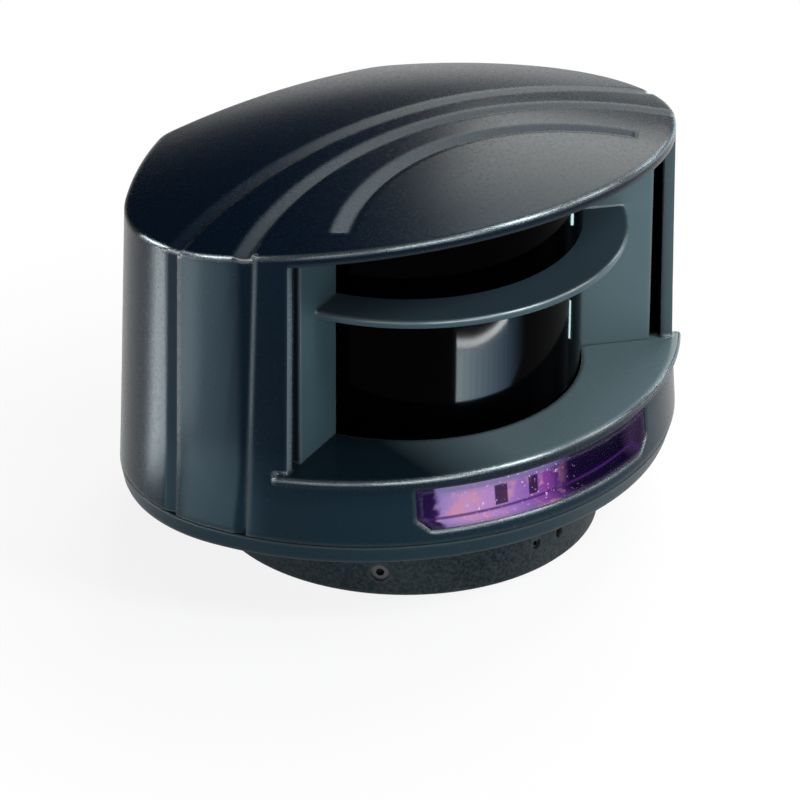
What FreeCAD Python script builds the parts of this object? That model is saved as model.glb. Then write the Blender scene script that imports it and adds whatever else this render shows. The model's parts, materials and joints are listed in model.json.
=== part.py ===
import FreeCAD, Part
import math
import os
from types import SimpleNamespace

import Sketcher

# Laser scanner for doors on a round wall bracket, in millimetres.
# The origin is the centre of the bracket's mounting face, +Z points away from the wall
# and the scanning window faces -Y.

SIZES = {
    # outline of the hood, seen from above
    "front_radius_low": 66.0,
    "front_radius_lip": 66.6,
    "front_radius_high": 67.5,
    "flank_radius": 151.5,
    "flank_center_x": 60.25,
    "flank_center_y": 76.6,
    "side_corner": 36.0,
    "back_corner": 8.0,
    "back_low": 49.2,
    "back_high": 46.4,
    "front_base": 51.0,
    "front_low": 51.5,
    "front_lip": 49.6,
    "front_high": 48.2,
    "flank_flare": 2.2,
    "base_taper": 0.6,
    "base_round": 1.0,
    # heights
    "base_bottom": 14.8,
    "seam_low": 19.2,
    "seam_high": 19.5,
    "sill_height": 34.5,
    "loft_top": 92.0,
    # dome and ridges
    "dome_radius": 217.0,
    "dome_center_y": 24.7,
    "dome_top": 89.3,
    "dome_thickness": 2.4,
    "rim_round": 0.9,
    "ridge_depth": 1.1,
    "ridge_width": 3.8,
    "ridge_clear": 2.0,
    "back_ridge_tilt": 33.9,
    "back_ridge_span": 41.8,
    "middle_ridge_tilt": 20.65,
    "middle_ridge_span": 25.95,
    "front_ridge_tilt": 11.8,
    "front_ridge_span": 14.2,
    "front_ridge_angle": 86.0,
    # hood wall, front opening, sill and lip
    "wall": 2.4,
    "opening_edge_x": 47.7,
    "opening_edge_y": 25.7,
    "opening_slant": 28.0,
    "sill_thickness": 2.2,
    "lip_radius": 69.5,
    "lip_front": 50.8,
    "lip_end_y": 26.0,
    "sill_tuck": 3.0,
    "lip_round": 1.0,
    "fit_gap": 0.3,
    # windows, cheeks and baffle
    "window_radius": 36.6,
    "window_wall": 2.0,
    "window_angle": 150.0,
    "window_foot": 31.0,
    "cheek_outer_x": 45.3,
    "cheek_outer_y": 25.1,
    "cheek_inner_x": 31.2,
    "cheek_inner_y": 18.6,
    "cheek_thickness": 2.0,
    "baffle_top": 66.7,
    "baffle_thickness": 1.8,
    "baffle_radius": 45.0,
    "baffle_front": 46.6,
    "baffle_end_x": 40.2,
    "baffle_round": 0.6,
    # indicator strip
    "lens_half_width": 29.5,
    "lens_low": 22.4,
    "lens_high": 31.2,
    "lens_chamfer": 2.6,
    "lens_gap": 0.15,
    "lens_flange": 1.2,
    "lens_flange_margin": 0.8,
    "strip_board_y": 37.8,
    "strip_board_half_width": 26.5,
    "strip_board_thickness": 1.5,
    "strip_board_top": 30.6,
    # bracket and tilting seat
    "bracket_radius": 41.0,
    "bracket_height": 12.0,
    "bracket_wall": 3.0,
    "bracket_floor": 3.0,
    "bracket_edge": 0.6,
    "screw_circle": 62.0,
    "wall_screw_radius": 2.3,
    "wall_screw_turn": 20.0,
    "pivot_radius": 8.0,
    "running_gap": 0.05,
    "seat_gap": 0.05,
    "disc_radius": 18.2,
    "disc_height": 5.0,
    "ear_thickness": 4.2,
    "ear_half_width": 4.5,
    "ear_top": 14.1,
    "tilt_axis_height": 11.5,
    "pin_radius": 1.5,
    "lug_gap": 0.4,
    "lug_thickness": 4.0,
    "lug_half_width": 4.2,
    "lug_bottom": 7.6,
    "lock_screw_radius": 1.9,
    "lock_screw_height": 5.3,
    "lock_screw_angle": 43.9,
    "tilt_screw_radius": 1.2,
    "tilt_screw_height": 6.5,
    "tilt_screw_length": 9.0,
    # base housing
    "base_floor": 2.2,
    "base_inset": 3.4,
    "gasket_inset": 1.2,
    "gasket_width": 1.9,
    "gasket_depth": 0.8,
    "cover_screw_radius": 1.5,
    "cover_screw_head": 2.9,
    "cover_screw_sink": 1.2,
    "boss_radius": 4.2,
    "post_radius": 2.7,
    "boss_height": 10.0,
    # chassis
    "chassis_floor": 22.5,
    "chassis_thickness": 2.5,
    "chassis_half_width": 28.0,
    "chassis_front": 26.0,
    "chassis_wall_y": 29.0,
    "chassis_wall": 3.0,
    "chassis_top": 74.0,
    "foot_radius": 3.6,
    "foot_x": 23.0,
    "foot_front_y": 21.0,
    "foot_back_y": 24.0,
    "foot_screw_radius": 1.25,
    "foot_screw_head": 2.4,
    "foot_screw_head_height": 1.6,
    "foot_screw_bite": 1.4,
    "rib_reach": 20.0,
    # rotor and motor
    "shaft_radius": 1.96,
    "shaft_low": 25.6,
    "shaft_top": 79.0,
    "bearing_radius": 4.5,
    "bearing_bore": 2.0,
    "bearing_width": 3.0,
    "stator_radius": 12.0,
    "stator_top": 34.0,
    "rotor_radius": 16.0,
    "rotor_wall": 2.4,
    "rotor_low": 27.4,
    "rotor_top": 36.6,
    "rotor_plate": 2.0,
    "encoder_radius": 20.5,
    "encoder_thickness": 0.8,
    "drum_foot": 40.4,
    "drum_hub": 8.0,
    "drum_half_width": 14.5,
    "drum_top": 80.0,
    "divider_radius": 22.5,
    "divider_low": 64.6,
    "divider_thickness": 2.0,
    "fork_inner": 17.8,
    "fork_outer": 24.0,
    "fork_half_width": 3.2,
    "fork_slot": 2.2,
    "fork_top": 39.4,
    # transmitter and receiver
    "laser_height": 70.0,
    "laser_radius": 4.5,
    "laser_length": 13.0,
    "laser_lens_thickness": 2.0,
    "receiver_height": 50.0,
    "receiver_radius": 11.0,
    "receiver_thickness": 5.0,
    "receiver_crown": 1.6,
    "receiver_board_half": 13.0,
    # main board
    "board_y": 37.0,
    "board_thickness": 1.6,
    "board_half_width": 25.0,
    "board_low": 31.0,
    "board_high": 68.0,
    "standoff_radius": 2.6,
    "standoff_x": 21.0,
    "standoff_low": 35.0,
    "standoff_high": 63.0,
    "board_screw_radius": 1.2,
    # cable inlet
    "inlet_height": 27.0,
    "inlet_radius": 5.5,
    "inlet_flange": 7.0,
    "inlet_bore": 3.0,
}

RIDGES = ("back_ridge", "middle_ridge", "front_ridge")
WALL_RIDGE_Y = {"back_ridge": (-5.51, -5.3), "middle_ridge": (-20.7, -21.6)}
COVER_SCREW_SPOTS = ((-56.0, 8.0), (56.0, 8.0), (-22.0, 43.0), (22.0, 43.0))
BASE_EDGE = ((0.0, 1.0), (0.3, 0.3), (1.0, 0.0))
TILT_SCREW_ANGLES = (-5.2, -14.9)
RECEIVER_SPOTS_X = (-13.0, -5.0)
LIGHT_SPOTS_X = (-20.0, 3.5, 9.5, 17.0)
CHIP_SPOTS = ((-10.0, 52.0, 7.0), (9.0, 54.0, 5.0), (-12.0, 36.0, 4.0), (4.0, 38.0, 4.0))

os.makedirs("parts", exist_ok=True)
doc = FreeCAD.newDocument("laser_door_sensor")
sheet = doc.addObject("Spreadsheet::Sheet", "Sizes")
for row, (alias, value) in enumerate(SIZES.items(), 1):
    sheet.set(f"A{row}", alias)
    sheet.set(f"B{row}", str(value))
    sheet.setAlias(f"B{row}", alias)
doc.recompute()


class Size:
    """A number together with the sheet expression that drives it."""

    def __init__(self, number, text):
        self.number = number
        self.text = text

    def join(self, other, sign, number):
        return Size(number, f"({self.text} {sign} {size(other).text})")

    def __add__(self, other):
        return self.join(other, "+", self.number + size(other).number)

    def __sub__(self, other):
        return self.join(other, "-", self.number - size(other).number)

    def __mul__(self, other):
        return self.join(other, "*", self.number * size(other).number)

    def __truediv__(self, other):
        return self.join(other, "/", self.number / size(other).number)

    def __neg__(self):
        return Size(-self.number, f"(0 - {self.text})")


def size(value):
    return value if isinstance(value, Size) else Size(float(value), f"({float(value)})")


def sine(angle):
    return Size(math.sin(math.radians(angle.number)), f"sin({angle.text})")


def cosine(angle):
    return Size(math.cos(math.radians(angle.number)), f"cos({angle.text})")


dim = SimpleNamespace(**{alias: Size(value, f"Sizes.{alias}") for alias, value in SIZES.items()})
NODES = []


def bind(thing, name, value):
    thing.setExpression(name, size(value).text)


def node(thing, name):
    """Mark a finished sub-part and give it the name of its file."""
    thing.Label = name
    NODES.append(thing)
    return thing


def put(thing, x=0.0, y=0.0, z=0.0, turn=None):
    """Place a thing; each coordinate stays tied to the sheet."""
    rotation = turn or FreeCAD.Rotation()
    thing.Placement = FreeCAD.Placement(FreeCAD.Vector(), rotation)
    for axis, value in (("x", x), ("y", y), ("z", z)):
        bind(thing, f"Placement.Base.{axis}", value)
    return thing


ALONG_X = FreeCAD.Rotation(FreeCAD.Vector(0, 1, 0), 90)
ALONG_Y = FreeCAD.Rotation(FreeCAD.Vector(1, 0, 0), -90)


def box(name, low, high):
    """Block between two corners."""
    thing = doc.addObject("Part::Box", name)
    for prop, a, b in zip(("Length", "Width", "Height"), low, high):
        bind(thing, prop, size(b) - a)
    return put(thing, *low)


def rod(name, radius, length, x=0.0, y=0.0, z=0.0, turn=None):
    thing = doc.addObject("Part::Cylinder", name)
    bind(thing, "Radius", radius)
    bind(thing, "Height", length)
    return put(thing, x, y, z, turn)


def ball(name, radius):
    """Ball about the dome's centre."""
    thing = doc.addObject("Part::Sphere", name)
    bind(thing, "Radius", radius)
    return put(thing, 0, -dim.dome_center_y, dim.dome_top - dim.dome_radius)


def cut(name, base, *tools):
    for index, tool in enumerate(tools):
        thing = doc.addObject("Part::Cut", f"{name}_cut{index}")
        thing.Base = base
        thing.Tool = tool
        base = thing
    return base


def common(name, base, tool):
    thing = doc.addObject("Part::Common", name)
    thing.Base = base
    thing.Tool = tool
    return thing


def fuse(name, *things):
    thing = doc.addObject("Part::MultiFuse", name)
    thing.Shapes = list(things)
    return thing


def group(name, things):
    """Identical separate pieces that share one node."""
    thing = doc.addObject("Part::Compound", name)
    thing.Links = list(things)
    return node(thing, name)


def mirrored(name, source):
    thing = doc.addObject("Part::Mirroring", name)
    thing.Source = source
    thing.Base = FreeCAD.Vector(0, 0, 0)
    thing.Normal = FreeCAD.Vector(1, 0, 0)
    return thing


def rounded(name, base, radius, chosen):
    """Round the edges of a boolean that the test chooses."""
    doc.recompute()
    thing = doc.addObject("Part::Fillet", name)
    thing.Base = base
    picked = [i for i, edge in enumerate(base.Shape.Edges, 1) if chosen(edge)]
    thing.Edges = [(i, radius.number, radius.number) for i in picked]
    return thing


class Draw:
    """A sketch on one of a body's own origin planes, with its points tied to the sheet."""

    def __init__(self, body, role="XY_Plane", lift=0.0):
        plane = next(f for f in body.Origin.OriginFeatures if f.Role == role)
        self.sketch = body.newObject("Sketcher::SketchObject", f"{body.Name}_sketch")
        self.sketch.AttachmentSupport = [(plane, "")]
        self.sketch.MapMode = "FlatFace"
        bind(self.sketch, "AttachmentOffset.Base.z", lift)

    def add(self, *constraint, value=None):
        if value is None:
            self.sketch.addConstraint(Sketcher.Constraint(*constraint))
            return
        index = self.sketch.addConstraint(Sketcher.Constraint(*constraint, value.number))
        self.sketch.setExpression(f"Constraints[{index}]", value.text)

    def along(self, kind, geo, pos, value, axis):
        """Tie one coordinate of a point to the sheet, measured from the origin."""
        value = size(value)
        if abs(value.number) < 1e-9:
            self.add("PointOnObject", geo, pos, axis)
        elif value.number > 0:
            self.add(kind, -1, 1, geo, pos, value=value)
        else:
            self.add(kind, geo, pos, -1, 1, value=-value)

    def hold(self, geo, pos, x, y):
        self.along("DistanceX", geo, pos, x, -2)
        self.along("DistanceY", geo, pos, y, -1)

    def circle(self, x, y, radius):
        center = FreeCAD.Vector(size(x).number, size(y).number, 0)
        circle = Part.Circle(center, FreeCAD.Vector(0, 0, 1), radius.number)
        geo = self.sketch.addGeometry(circle, False)
        self.add("Radius", geo, value=radius)
        self.hold(geo, 3, x, y)
        return self

    def line(self, start, end):
        points = [FreeCAD.Vector(size(x).number, size(y).number, 0) for x, y in (start, end)]
        return self.sketch.addGeometry(Part.LineSegment(*points), False)

    def polygon(self, points):
        """Closed run of straight lines through points given as pairs of sizes."""
        geos = [self.line(a, b) for a, b in zip(points, points[1:] + points[:1])]
        for geo, after, point in zip(geos, geos[1:] + geos[:1], points[1:] + points[:1]):
            self.add("Coincident", geo, 2, after, 1)
            self.hold(after, 1, *point)
        return self

    def arc(self, center, radius, start, end):
        """Arc from one direction to another, counter-clockwise, in radians."""
        circle = Part.Circle(FreeCAD.Vector(*center, 0), FreeCAD.Vector(0, 0, 1), radius)
        return self.sketch.addGeometry(Part.ArcOfCircle(circle, start, end), False)


def body(name):
    return doc.addObject("PartDesign::Body", name)


def feature(part, kind, drawing, **values):
    """Add a pad, pocket or revolution of a drawing to a body."""
    thing = part.newObject(f"PartDesign::{kind}", f"{part.Name}_{kind}")
    thing.Profile = drawing.sketch
    for name, value in values.items():
        if isinstance(value, Size):
            bind(thing, name, value)
        else:
            setattr(thing, name, value)
    return thing


def spin(name, points, role="XZ_Plane", angle=360.0, midplane=False):
    """Body turned about its own Z axis from a closed profile."""
    part = body(name)
    drawing = Draw(part, role).polygon(points)
    turned = feature(part, "Revolution", drawing, Midplane=midplane, Angle=size(angle))
    turned.ReferenceAxis = (drawing.sketch, ["V_Axis"])
    return part


def direction(center, point):
    return math.atan2(point[1] - center[1], point[0] - center[0])


def reach(center_a, radius_a, center_b, radius_b, side):
    """Point at given distances from two centres, on the side of +X or -X."""
    dx, dy = center_b[0] - center_a[0], center_b[1] - center_a[1]
    apart = math.hypot(dx, dy)
    along = (radius_a ** 2 - radius_b ** 2 + apart ** 2) / (2 * apart)
    off = math.sqrt(radius_a ** 2 - along ** 2)
    foot = (center_a[0] + dx * along / apart, center_a[1] + dy * along / apart)
    spots = [(foot[0] + k * off * dy / apart, foot[1] - k * off * dx / apart) for k in (1, -1)]
    return max(spots, key=lambda spot: side * spot[0])


def outline(part, height, radius, front, flare, back, inset=0.0):
    """Hood outline seen from above: front arc, two flanks and a flat back, all corners round.

    An inset moves every side inwards by the same amount.
    """
    inset = size(inset)
    front_radius = radius - inset
    front_y = radius - front
    flank_radius = dim.flank_radius + flare - inset
    back_y = size(back) - inset
    side_round = dim.side_corner - inset
    back_round = dim.back_corner - inset
    drawing = Draw(part, lift=height)

    front_center = (0.0, front_y.number)
    corners = {}
    for side in (1, -1):
        flank_center = (-side * dim.flank_center_x.number, -dim.flank_center_y.number)
        to_front = front_radius.number - side_round.number
        to_flank = flank_radius.number - side_round.number
        side_center = reach(front_center, to_front, flank_center, to_flank, side)
        drop = back_y.number - back_round.number - flank_center[1]
        across = math.sqrt((flank_radius.number - back_round.number) ** 2 - drop ** 2)
        back_center = (flank_center[0] + side * across, flank_center[1] + drop)
        corners[side] = (flank_center, side_center, back_center)

    def arc_between(center, radius, start, end):
        return drawing.arc(center, radius.number, start, end)

    right_flank, right_side, right_back = corners[1]
    left_flank, left_side, left_back = corners[-1]
    up = math.pi / 2
    turn = 2 * math.pi
    front_start = direction(front_center, left_side) % turn
    front_end = direction(front_center, right_side) % turn
    flank_start = direction(right_flank, right_side)
    flank_end = direction(right_flank, right_back)
    geo_front = arc_between(front_center, front_radius, front_start, front_end)
    geo_right = arc_between(right_side, side_round, front_end - turn, flank_start)
    geo_flank = arc_between(right_flank, flank_radius, flank_start, flank_end)
    geo_back = arc_between(right_back, back_round, flank_end, up)
    edge = [(center[0], back_y.number) for center in (right_back, left_back)]
    geo_line = drawing.line(*edge)
    geo_back2 = arc_between(left_back, back_round, up, math.pi - flank_end)
    geo_flank2 = arc_between(left_flank, flank_radius, math.pi - flank_end, math.pi - flank_start)
    geo_left = arc_between(left_side, side_round, math.pi - flank_start, front_start)

    chain = [geo_front, geo_right, geo_flank, geo_back, geo_line, geo_back2, geo_flank2, geo_left]
    for first, second in zip(chain, chain[1:] + chain[:1]):
        drawing.add("Tangent", first, 2, second, 1)
    drawing.add("Radius", geo_front, value=front_radius)
    drawing.hold(geo_front, 3, 0, front_y)
    for geo, side in ((geo_flank, -1), (geo_flank2, 1)):
        drawing.add("Radius", geo, value=flank_radius)
        drawing.hold(geo, 3, dim.flank_center_x * side, -dim.flank_center_y)
    for geo, radius in ((geo_right, side_round), (geo_left, side_round)):
        drawing.add("Radius", geo, value=radius)
    for geo, radius in ((geo_back, back_round), (geo_back2, back_round)):
        drawing.add("Radius", geo, value=radius)
    drawing.add("Horizontal", geo_line)
    drawing.along("DistanceY", geo_line, 1, back_y, -1)
    return drawing


def loft(part, sections):
    thing = part.newObject("PartDesign::AdditiveLoft", f"{part.Name}_loft")
    thing.Profile = sections[0].sketch
    thing.Sections = [section.sketch for section in sections[1:]]
    thing.Ruled = True
    return thing


def low_outline(part, height, inset=0.0):
    return outline(part, height, dim.front_radius_low, dim.front_low, dim.flank_flare,
                   dim.back_low, inset)


def hood_loft(name, inset=0.0):
    """Flared block of the hood, from the seam up past the dome."""
    part = body(name)
    rise = (dim.sill_height - dim.seam_high) / (dim.loft_top - dim.seam_high)
    lip_back = dim.back_low - (dim.back_low - dim.back_high) * rise
    lip_flare = dim.flank_flare - dim.flank_flare * rise
    sections = [
        low_outline(part, dim.seam_high, inset),
        outline(part, dim.sill_height, dim.front_radius_lip, dim.front_lip, lip_flare,
                lip_back, inset),
        outline(part, dim.loft_top, dim.front_radius_high, dim.front_high, 0.0,
                dim.back_high, inset),
    ]
    loft(part, sections)
    return part


def ridge_tool(name):
    """Ring with a saw-tooth section that follows the dome at a constant depth."""
    tilt = getattr(dim, f"{name}_tilt")
    start = getattr(dim, f"{name}_span")
    above = dim.dome_radius + dim.ridge_clear
    below = dim.dome_radius - dim.ridge_depth
    arc_degrees = dim.ridge_width / dim.dome_radius * math.degrees(1.0)
    end = start + arc_degrees * (dim.ridge_clear / dim.ridge_depth + 1.0)
    points = [
        (sine(start) * below, cosine(start) * below),
        (sine(end) * above, cosine(end) * above),
        (sine(start) * above, cosine(start) * above),
    ]
    angle = dim.front_ridge_angle if name == "front_ridge" else size(200.0)
    tool = spin(f"{name}_tool", points, "YZ_Plane", angle, midplane=True)
    lean = FreeCAD.Rotation(FreeCAD.Vector(1, 0, 0), tilt.number)
    return put(tool, 0, -dim.dome_center_y, dim.dome_top - dim.dome_radius, lean)


def wall_point(y, radius, front, flare, height):
    """Point of the right-hand hood wall at a given depth, and the way the wall faces there."""
    front_center = (0.0, radius.number - front.number)
    flank_center = (-dim.flank_center_x.number, -dim.flank_center_y.number)
    corner_radius = dim.side_corner.number
    to_front = radius.number - corner_radius
    to_flank = (dim.flank_radius + flare).number - corner_radius
    corner = reach(front_center, to_front, flank_center, to_flank, 1)
    meet_y = front_center[1] + math.sin(direction(front_center, corner)) * radius.number
    center, away = (front_center, radius.number) if y < meet_y else (corner, corner_radius)
    x = center[0] + math.sqrt(away ** 2 - (y - center[1]) ** 2)
    facing = FreeCAD.Vector(x - center[0], y - center[1], 0).normalize()
    return FreeCAD.Vector(x, y, height.number), facing


def wall_ridge_tool(name, foot_y, top_y):
    """Upright saw-tooth cutter that carries a ridge down the side wall."""
    foot, _ = wall_point(foot_y, dim.front_radius_low, dim.front_low, dim.flank_flare, dim.seam_high)
    top, outward = wall_point(top_y, dim.front_radius_high, dim.front_high, 0.0, dim.loft_top)
    upward = (top - foot).normalize()
    turn = FreeCAD.Rotation(outward, upward.cross(outward), upward, "ZXY")
    tool = body(f"{name}_wall_tool")
    far = dim.ridge_width * (dim.ridge_clear / dim.ridge_depth + 1.0)
    corners = [(dim.ridge_clear, 0), (dim.ridge_clear, far), (-dim.ridge_depth, 0)]
    feature(tool, "Pad", Draw(tool).polygon(corners), Length=dim.loft_top * 2.0, Midplane=True)
    return put(tool, foot.x, foot.y, dim.seam_high, turn)


def strip_block(name, margin):
    """Chamfered block through the front wall, the shape of the indicator strip."""
    part = body(name)
    side = dim.lens_half_width + margin
    low = dim.lens_low - margin
    high = dim.lens_high + margin
    slant = dim.lens_chamfer
    points = [
        (-side, high), (-side, low + slant), (-side + slant, low),
        (side - slant, low), (side, low + slant), (side, high),
    ]
    feature(part, "Pad", Draw(part, "XZ_Plane").polygon(points), Length=dim.front_radius_high)
    return part


def make_sill():
    """Shelf in front of the windows with a rounded lip that stands out of the skirt."""
    part = body("sill")
    center_y = dim.lip_radius - dim.lip_front
    low = dim.sill_height - dim.sill_thickness
    drawing = Draw(part, lift=low)
    drop = center_y.number + dim.lip_end_y.number
    half = math.sqrt(dim.lip_radius.number ** 2 - drop ** 2)
    end = math.atan2(-drop, half)
    geo_arc = drawing.arc((0, center_y.number), dim.lip_radius.number, -math.pi - end, end)
    tuck_y = dim.sill_tuck - dim.opening_edge_y
    inner = [(dim.opening_edge_x, tuck_y), (dim.cheek_inner_x, -dim.cheek_inner_y)]
    corners = inner + [(-inner[1][0], inner[1][1]), (-inner[0][0], inner[0][1])]
    ends = [(half, -dim.lip_end_y.number), (-half, -dim.lip_end_y.number)]
    geos = [drawing.line(a, b) for a, b in zip([ends[0]] + corners, corners + [ends[1]])]
    drawing.add("Radius", geo_arc, value=dim.lip_radius)
    drawing.hold(geo_arc, 3, 0, center_y)
    drawing.add("Coincident", geo_arc, 2, geos[0], 1)
    drawing.add("Coincident", geo_arc, 1, geos[-1], 2)
    drawing.along("DistanceY", geo_arc, 1, -dim.lip_end_y, -1)
    drawing.along("DistanceY", geo_arc, 2, -dim.lip_end_y, -1)
    for first, second, corner in zip(geos, geos[1:], corners):
        drawing.add("Coincident", first, 2, second, 1)
        drawing.hold(second, 1, *corner)
    feature(part, "Pad", drawing, Length=dim.sill_thickness)
    hole = Draw(part, lift=low).circle(0, 0, dim.window_radius + dim.fit_gap)
    feature(part, "Pocket", hole, Length=dim.sill_thickness, Reversed=True)
    doc.recompute()

    def on_lip(edge):
        curve = edge.Curve
        return isinstance(curve, Part.Circle) and abs(curve.Radius - dim.lip_radius.number) < 0.01

    return rounded("sill_rounded", part, dim.lip_round, on_lip)


def front_wedge():
    """Everything in front of the two wall ends, which are cut square to the wall."""
    part = body("front_block")
    far = dim.front_radius_high + dim.wall
    drop = sine(dim.opening_slant) / cosine(dim.opening_slant)
    edge = (dim.opening_edge_x, -dim.opening_edge_y)
    tip = (far, -dim.opening_edge_y - (far - dim.opening_edge_x) * drop)
    right = [(far, -far), tip, edge]
    points = right + [(-x, y) for x, y in reversed(right)]
    drawing = Draw(part, lift=dim.sill_height).polygon(points)
    feature(part, "Pad", drawing, Length=dim.loft_top - dim.sill_height)
    return part


def make_cover():
    outer = hood_loft("hood_outer")
    inner = hood_loft("hood_inner", dim.wall)
    domed = common("hood_domed", outer, ball("dome_outer", dim.dome_radius))
    center = FreeCAD.Vector(0, -dim.dome_center_y.number, SIZES["dome_top"] - SIZES["dome_radius"])

    def on_dome(edge):
        ends = [vertex.Point.distanceToPoint(center) for vertex in edge.Vertexes]
        return all(abs(distance - dim.dome_radius.number) < 0.01 for distance in ends)

    hood = rounded("hood_rounded", domed, dim.rim_round, on_dome)
    under = ball("dome_inner", dim.dome_radius - dim.dome_thickness)
    cavity = common("hood_cavity", inner, under)
    opening = common("front_opening", front_wedge(), under)
    tools = [cavity, opening]
    tools += [ridge_tool(name) for name in RIDGES]
    for name, depths in WALL_RIDGE_Y.items():
        tool = wall_ridge_tool(name, *depths)
        tools += [tool, mirrored(f"{name}_wall_mirror", tool)]
    tools.append(strip_block("strip_hole", dim.lens_gap))
    tools.append(rod("inlet_hole", dim.inlet_radius, dim.board_y, 0, dim.board_y,
                     dim.inlet_height, ALONG_Y))
    shell = cut("hood", hood, *tools)
    bosses = [rod("cover_boss", dim.boss_radius, dim.boss_height, x, y, dim.seam_high)
              for x, y in COVER_SCREW_SPOTS]
    whole = fuse("hood_whole", shell, make_sill(), *bosses)
    holes = [rod("cover_boss_hole", dim.cover_screw_radius, dim.boss_height - dim.wall,
                 x, y, dim.seam_high) for x, y in COVER_SCREW_SPOTS]
    node(cut("cover", whole, *holes), "cover")

    flange_core = hood_loft("strip_flange_core", dim.wall + dim.lens_flange)
    face = common("strip_face", strip_block("strip_lens", 0.0), cut("strip_wall", outer, inner))
    flange = common("strip_flange", strip_block("strip_back", dim.lens_flange_margin),
                    cut("strip_rear", inner, flange_core))
    node(fuse("indicator_lens", face, flange), "indicator_lens")


def foot_spots():
    return [(dim.foot_x * side, y) for side in (1, -1)
            for y in (-dim.foot_front_y, dim.foot_back_y)]


def make_base():
    part = body("base_block")
    sections = []
    for rise, inset in BASE_EDGE:
        sections.append(outline(part, dim.base_bottom + dim.base_round * rise,
                                dim.front_radius_low, dim.front_base, dim.flank_flare,
                                dim.back_low, dim.base_taper + dim.base_round * inset))
    sections.append(low_outline(part, dim.seam_low))
    loft(part, sections)
    room = body("base_room")
    ledge = low_outline(room, dim.seam_low - dim.gasket_depth, dim.gasket_inset)
    feature(room, "Pad", ledge, Length=dim.gasket_depth)
    well = low_outline(room, dim.base_bottom + dim.base_floor, dim.base_inset)
    feature(room, "Pad", well, Length=dim.seam_low - dim.base_bottom - dim.base_floor)
    tray = cut("base_tray", part, room)
    lugs = []
    inner_x = dim.disc_radius + dim.lug_gap
    for side in (1, -1):
        ends = sorted((inner_x * side, (inner_x + dim.lug_thickness) * side),
                      key=lambda value: value.number)
        lugs.append(box("lug", (ends[0], -dim.lug_half_width, dim.lug_bottom),
                        (ends[1], dim.lug_half_width, dim.base_bottom + dim.wall)))
    posts = [rod("base_post", dim.post_radius, dim.seam_high - dim.base_bottom - dim.seat_gap,
                 x, y, dim.base_bottom) for x, y in COVER_SCREW_SPOTS]
    whole = fuse("base_whole", tray, *lugs, *posts)
    bore_length = (inner_x + dim.lug_thickness) * 2.0 + 2.0
    bore = rod("lug_bore", dim.pin_radius + dim.running_gap, bore_length,
               bore_length * -0.5, 0, dim.tilt_axis_height, ALONG_X)
    holes = []
    for x, y in COVER_SCREW_SPOTS:
        holes.append(rod("base_hole", dim.cover_screw_radius + dim.fit_gap, dim.boss_height,
                         x, y, dim.base_bottom))
        holes.append(rod("base_sink", dim.cover_screw_head + dim.fit_gap, dim.cover_screw_sink,
                         x, y, dim.base_bottom))
    floor = dim.base_bottom + dim.base_floor
    holes += [rod("foot_hole", dim.foot_screw_radius, dim.foot_screw_bite, x, y,
                  floor - dim.foot_screw_bite) for x, y in foot_spots()]
    node(cut("base_housing", whole, bore, *holes), "base_housing")

    ring = body("housing_gasket")
    low = dim.seam_low - dim.gasket_depth
    feature(ring, "Pad", low_outline(ring, low, dim.gasket_inset), Length=dim.seam_high - low)
    inside = low_outline(ring, dim.seam_high, dim.gasket_inset + dim.gasket_width)
    feature(ring, "Pocket", inside, Length=dim.seam_high - low)
    node(ring, "housing_gasket")

    length = dim.boss_height - dim.wall
    screws = [put(headed_screw("cover_screw", dim.cover_screw_radius, length,
                               dim.cover_screw_head, dim.cover_screw_sink), x, y,
                  dim.base_bottom + dim.cover_screw_sink) for x, y in COVER_SCREW_SPOTS]
    group("cover_screws", screws)


def headed_screw(name, radius, length, head_radius, head_height):
    """Pan-head screw along +Z, its head below the origin, with a hexagon socket."""
    profile = [
        (0, length), (0, -head_height), (head_radius - head_height * 0.25, -head_height),
        (head_radius, head_height * -0.75), (head_radius, 0), (radius, 0), (radius, length),
    ]
    part = spin(name, profile)
    socket = head_radius * 0.45
    ring = [(socket * math.cos(math.radians(60 * k)), socket * math.sin(math.radians(60 * k)))
            for k in range(6)]
    drawing = Draw(part, lift=-head_height).polygon(ring)
    feature(part, "Pocket", drawing, Length=head_height * 0.6, Reversed=True)
    return part


def set_screw(name, radius, length, angle, height, start):
    """Headless screw lying along a radius of the bracket, its socket facing outwards."""
    part = spin(name, [(0, 0), (radius, 0), (radius, length - radius * 0.4),
                       (radius * 0.6, length), (0, length)])
    socket = radius * 0.5
    ring = [(socket * math.cos(math.radians(60 * k)), socket * math.sin(math.radians(60 * k)))
            for k in range(6)]
    feature(part, "Pocket", Draw(part).polygon(ring), Length=radius, Reversed=True)
    inward = FreeCAD.Vector(math.sin(math.radians(angle)), math.cos(math.radians(angle)), 0)
    turn = FreeCAD.Rotation(FreeCAD.Vector(0, 0, 1), inward)
    return put(part, start * -inward.x, start * -inward.y, height, turn)


def bracket_hole(name, radius, angle, height):
    inward = FreeCAD.Vector(math.sin(math.radians(angle)), math.cos(math.radians(angle)), 0)
    turn = FreeCAD.Rotation(FreeCAD.Vector(0, 0, 1), inward)
    start = dim.bracket_radius + 1.0
    return rod(name, radius, dim.bracket_wall + 2.0, start * -inward.x, start * -inward.y,
               height, turn)


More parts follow.
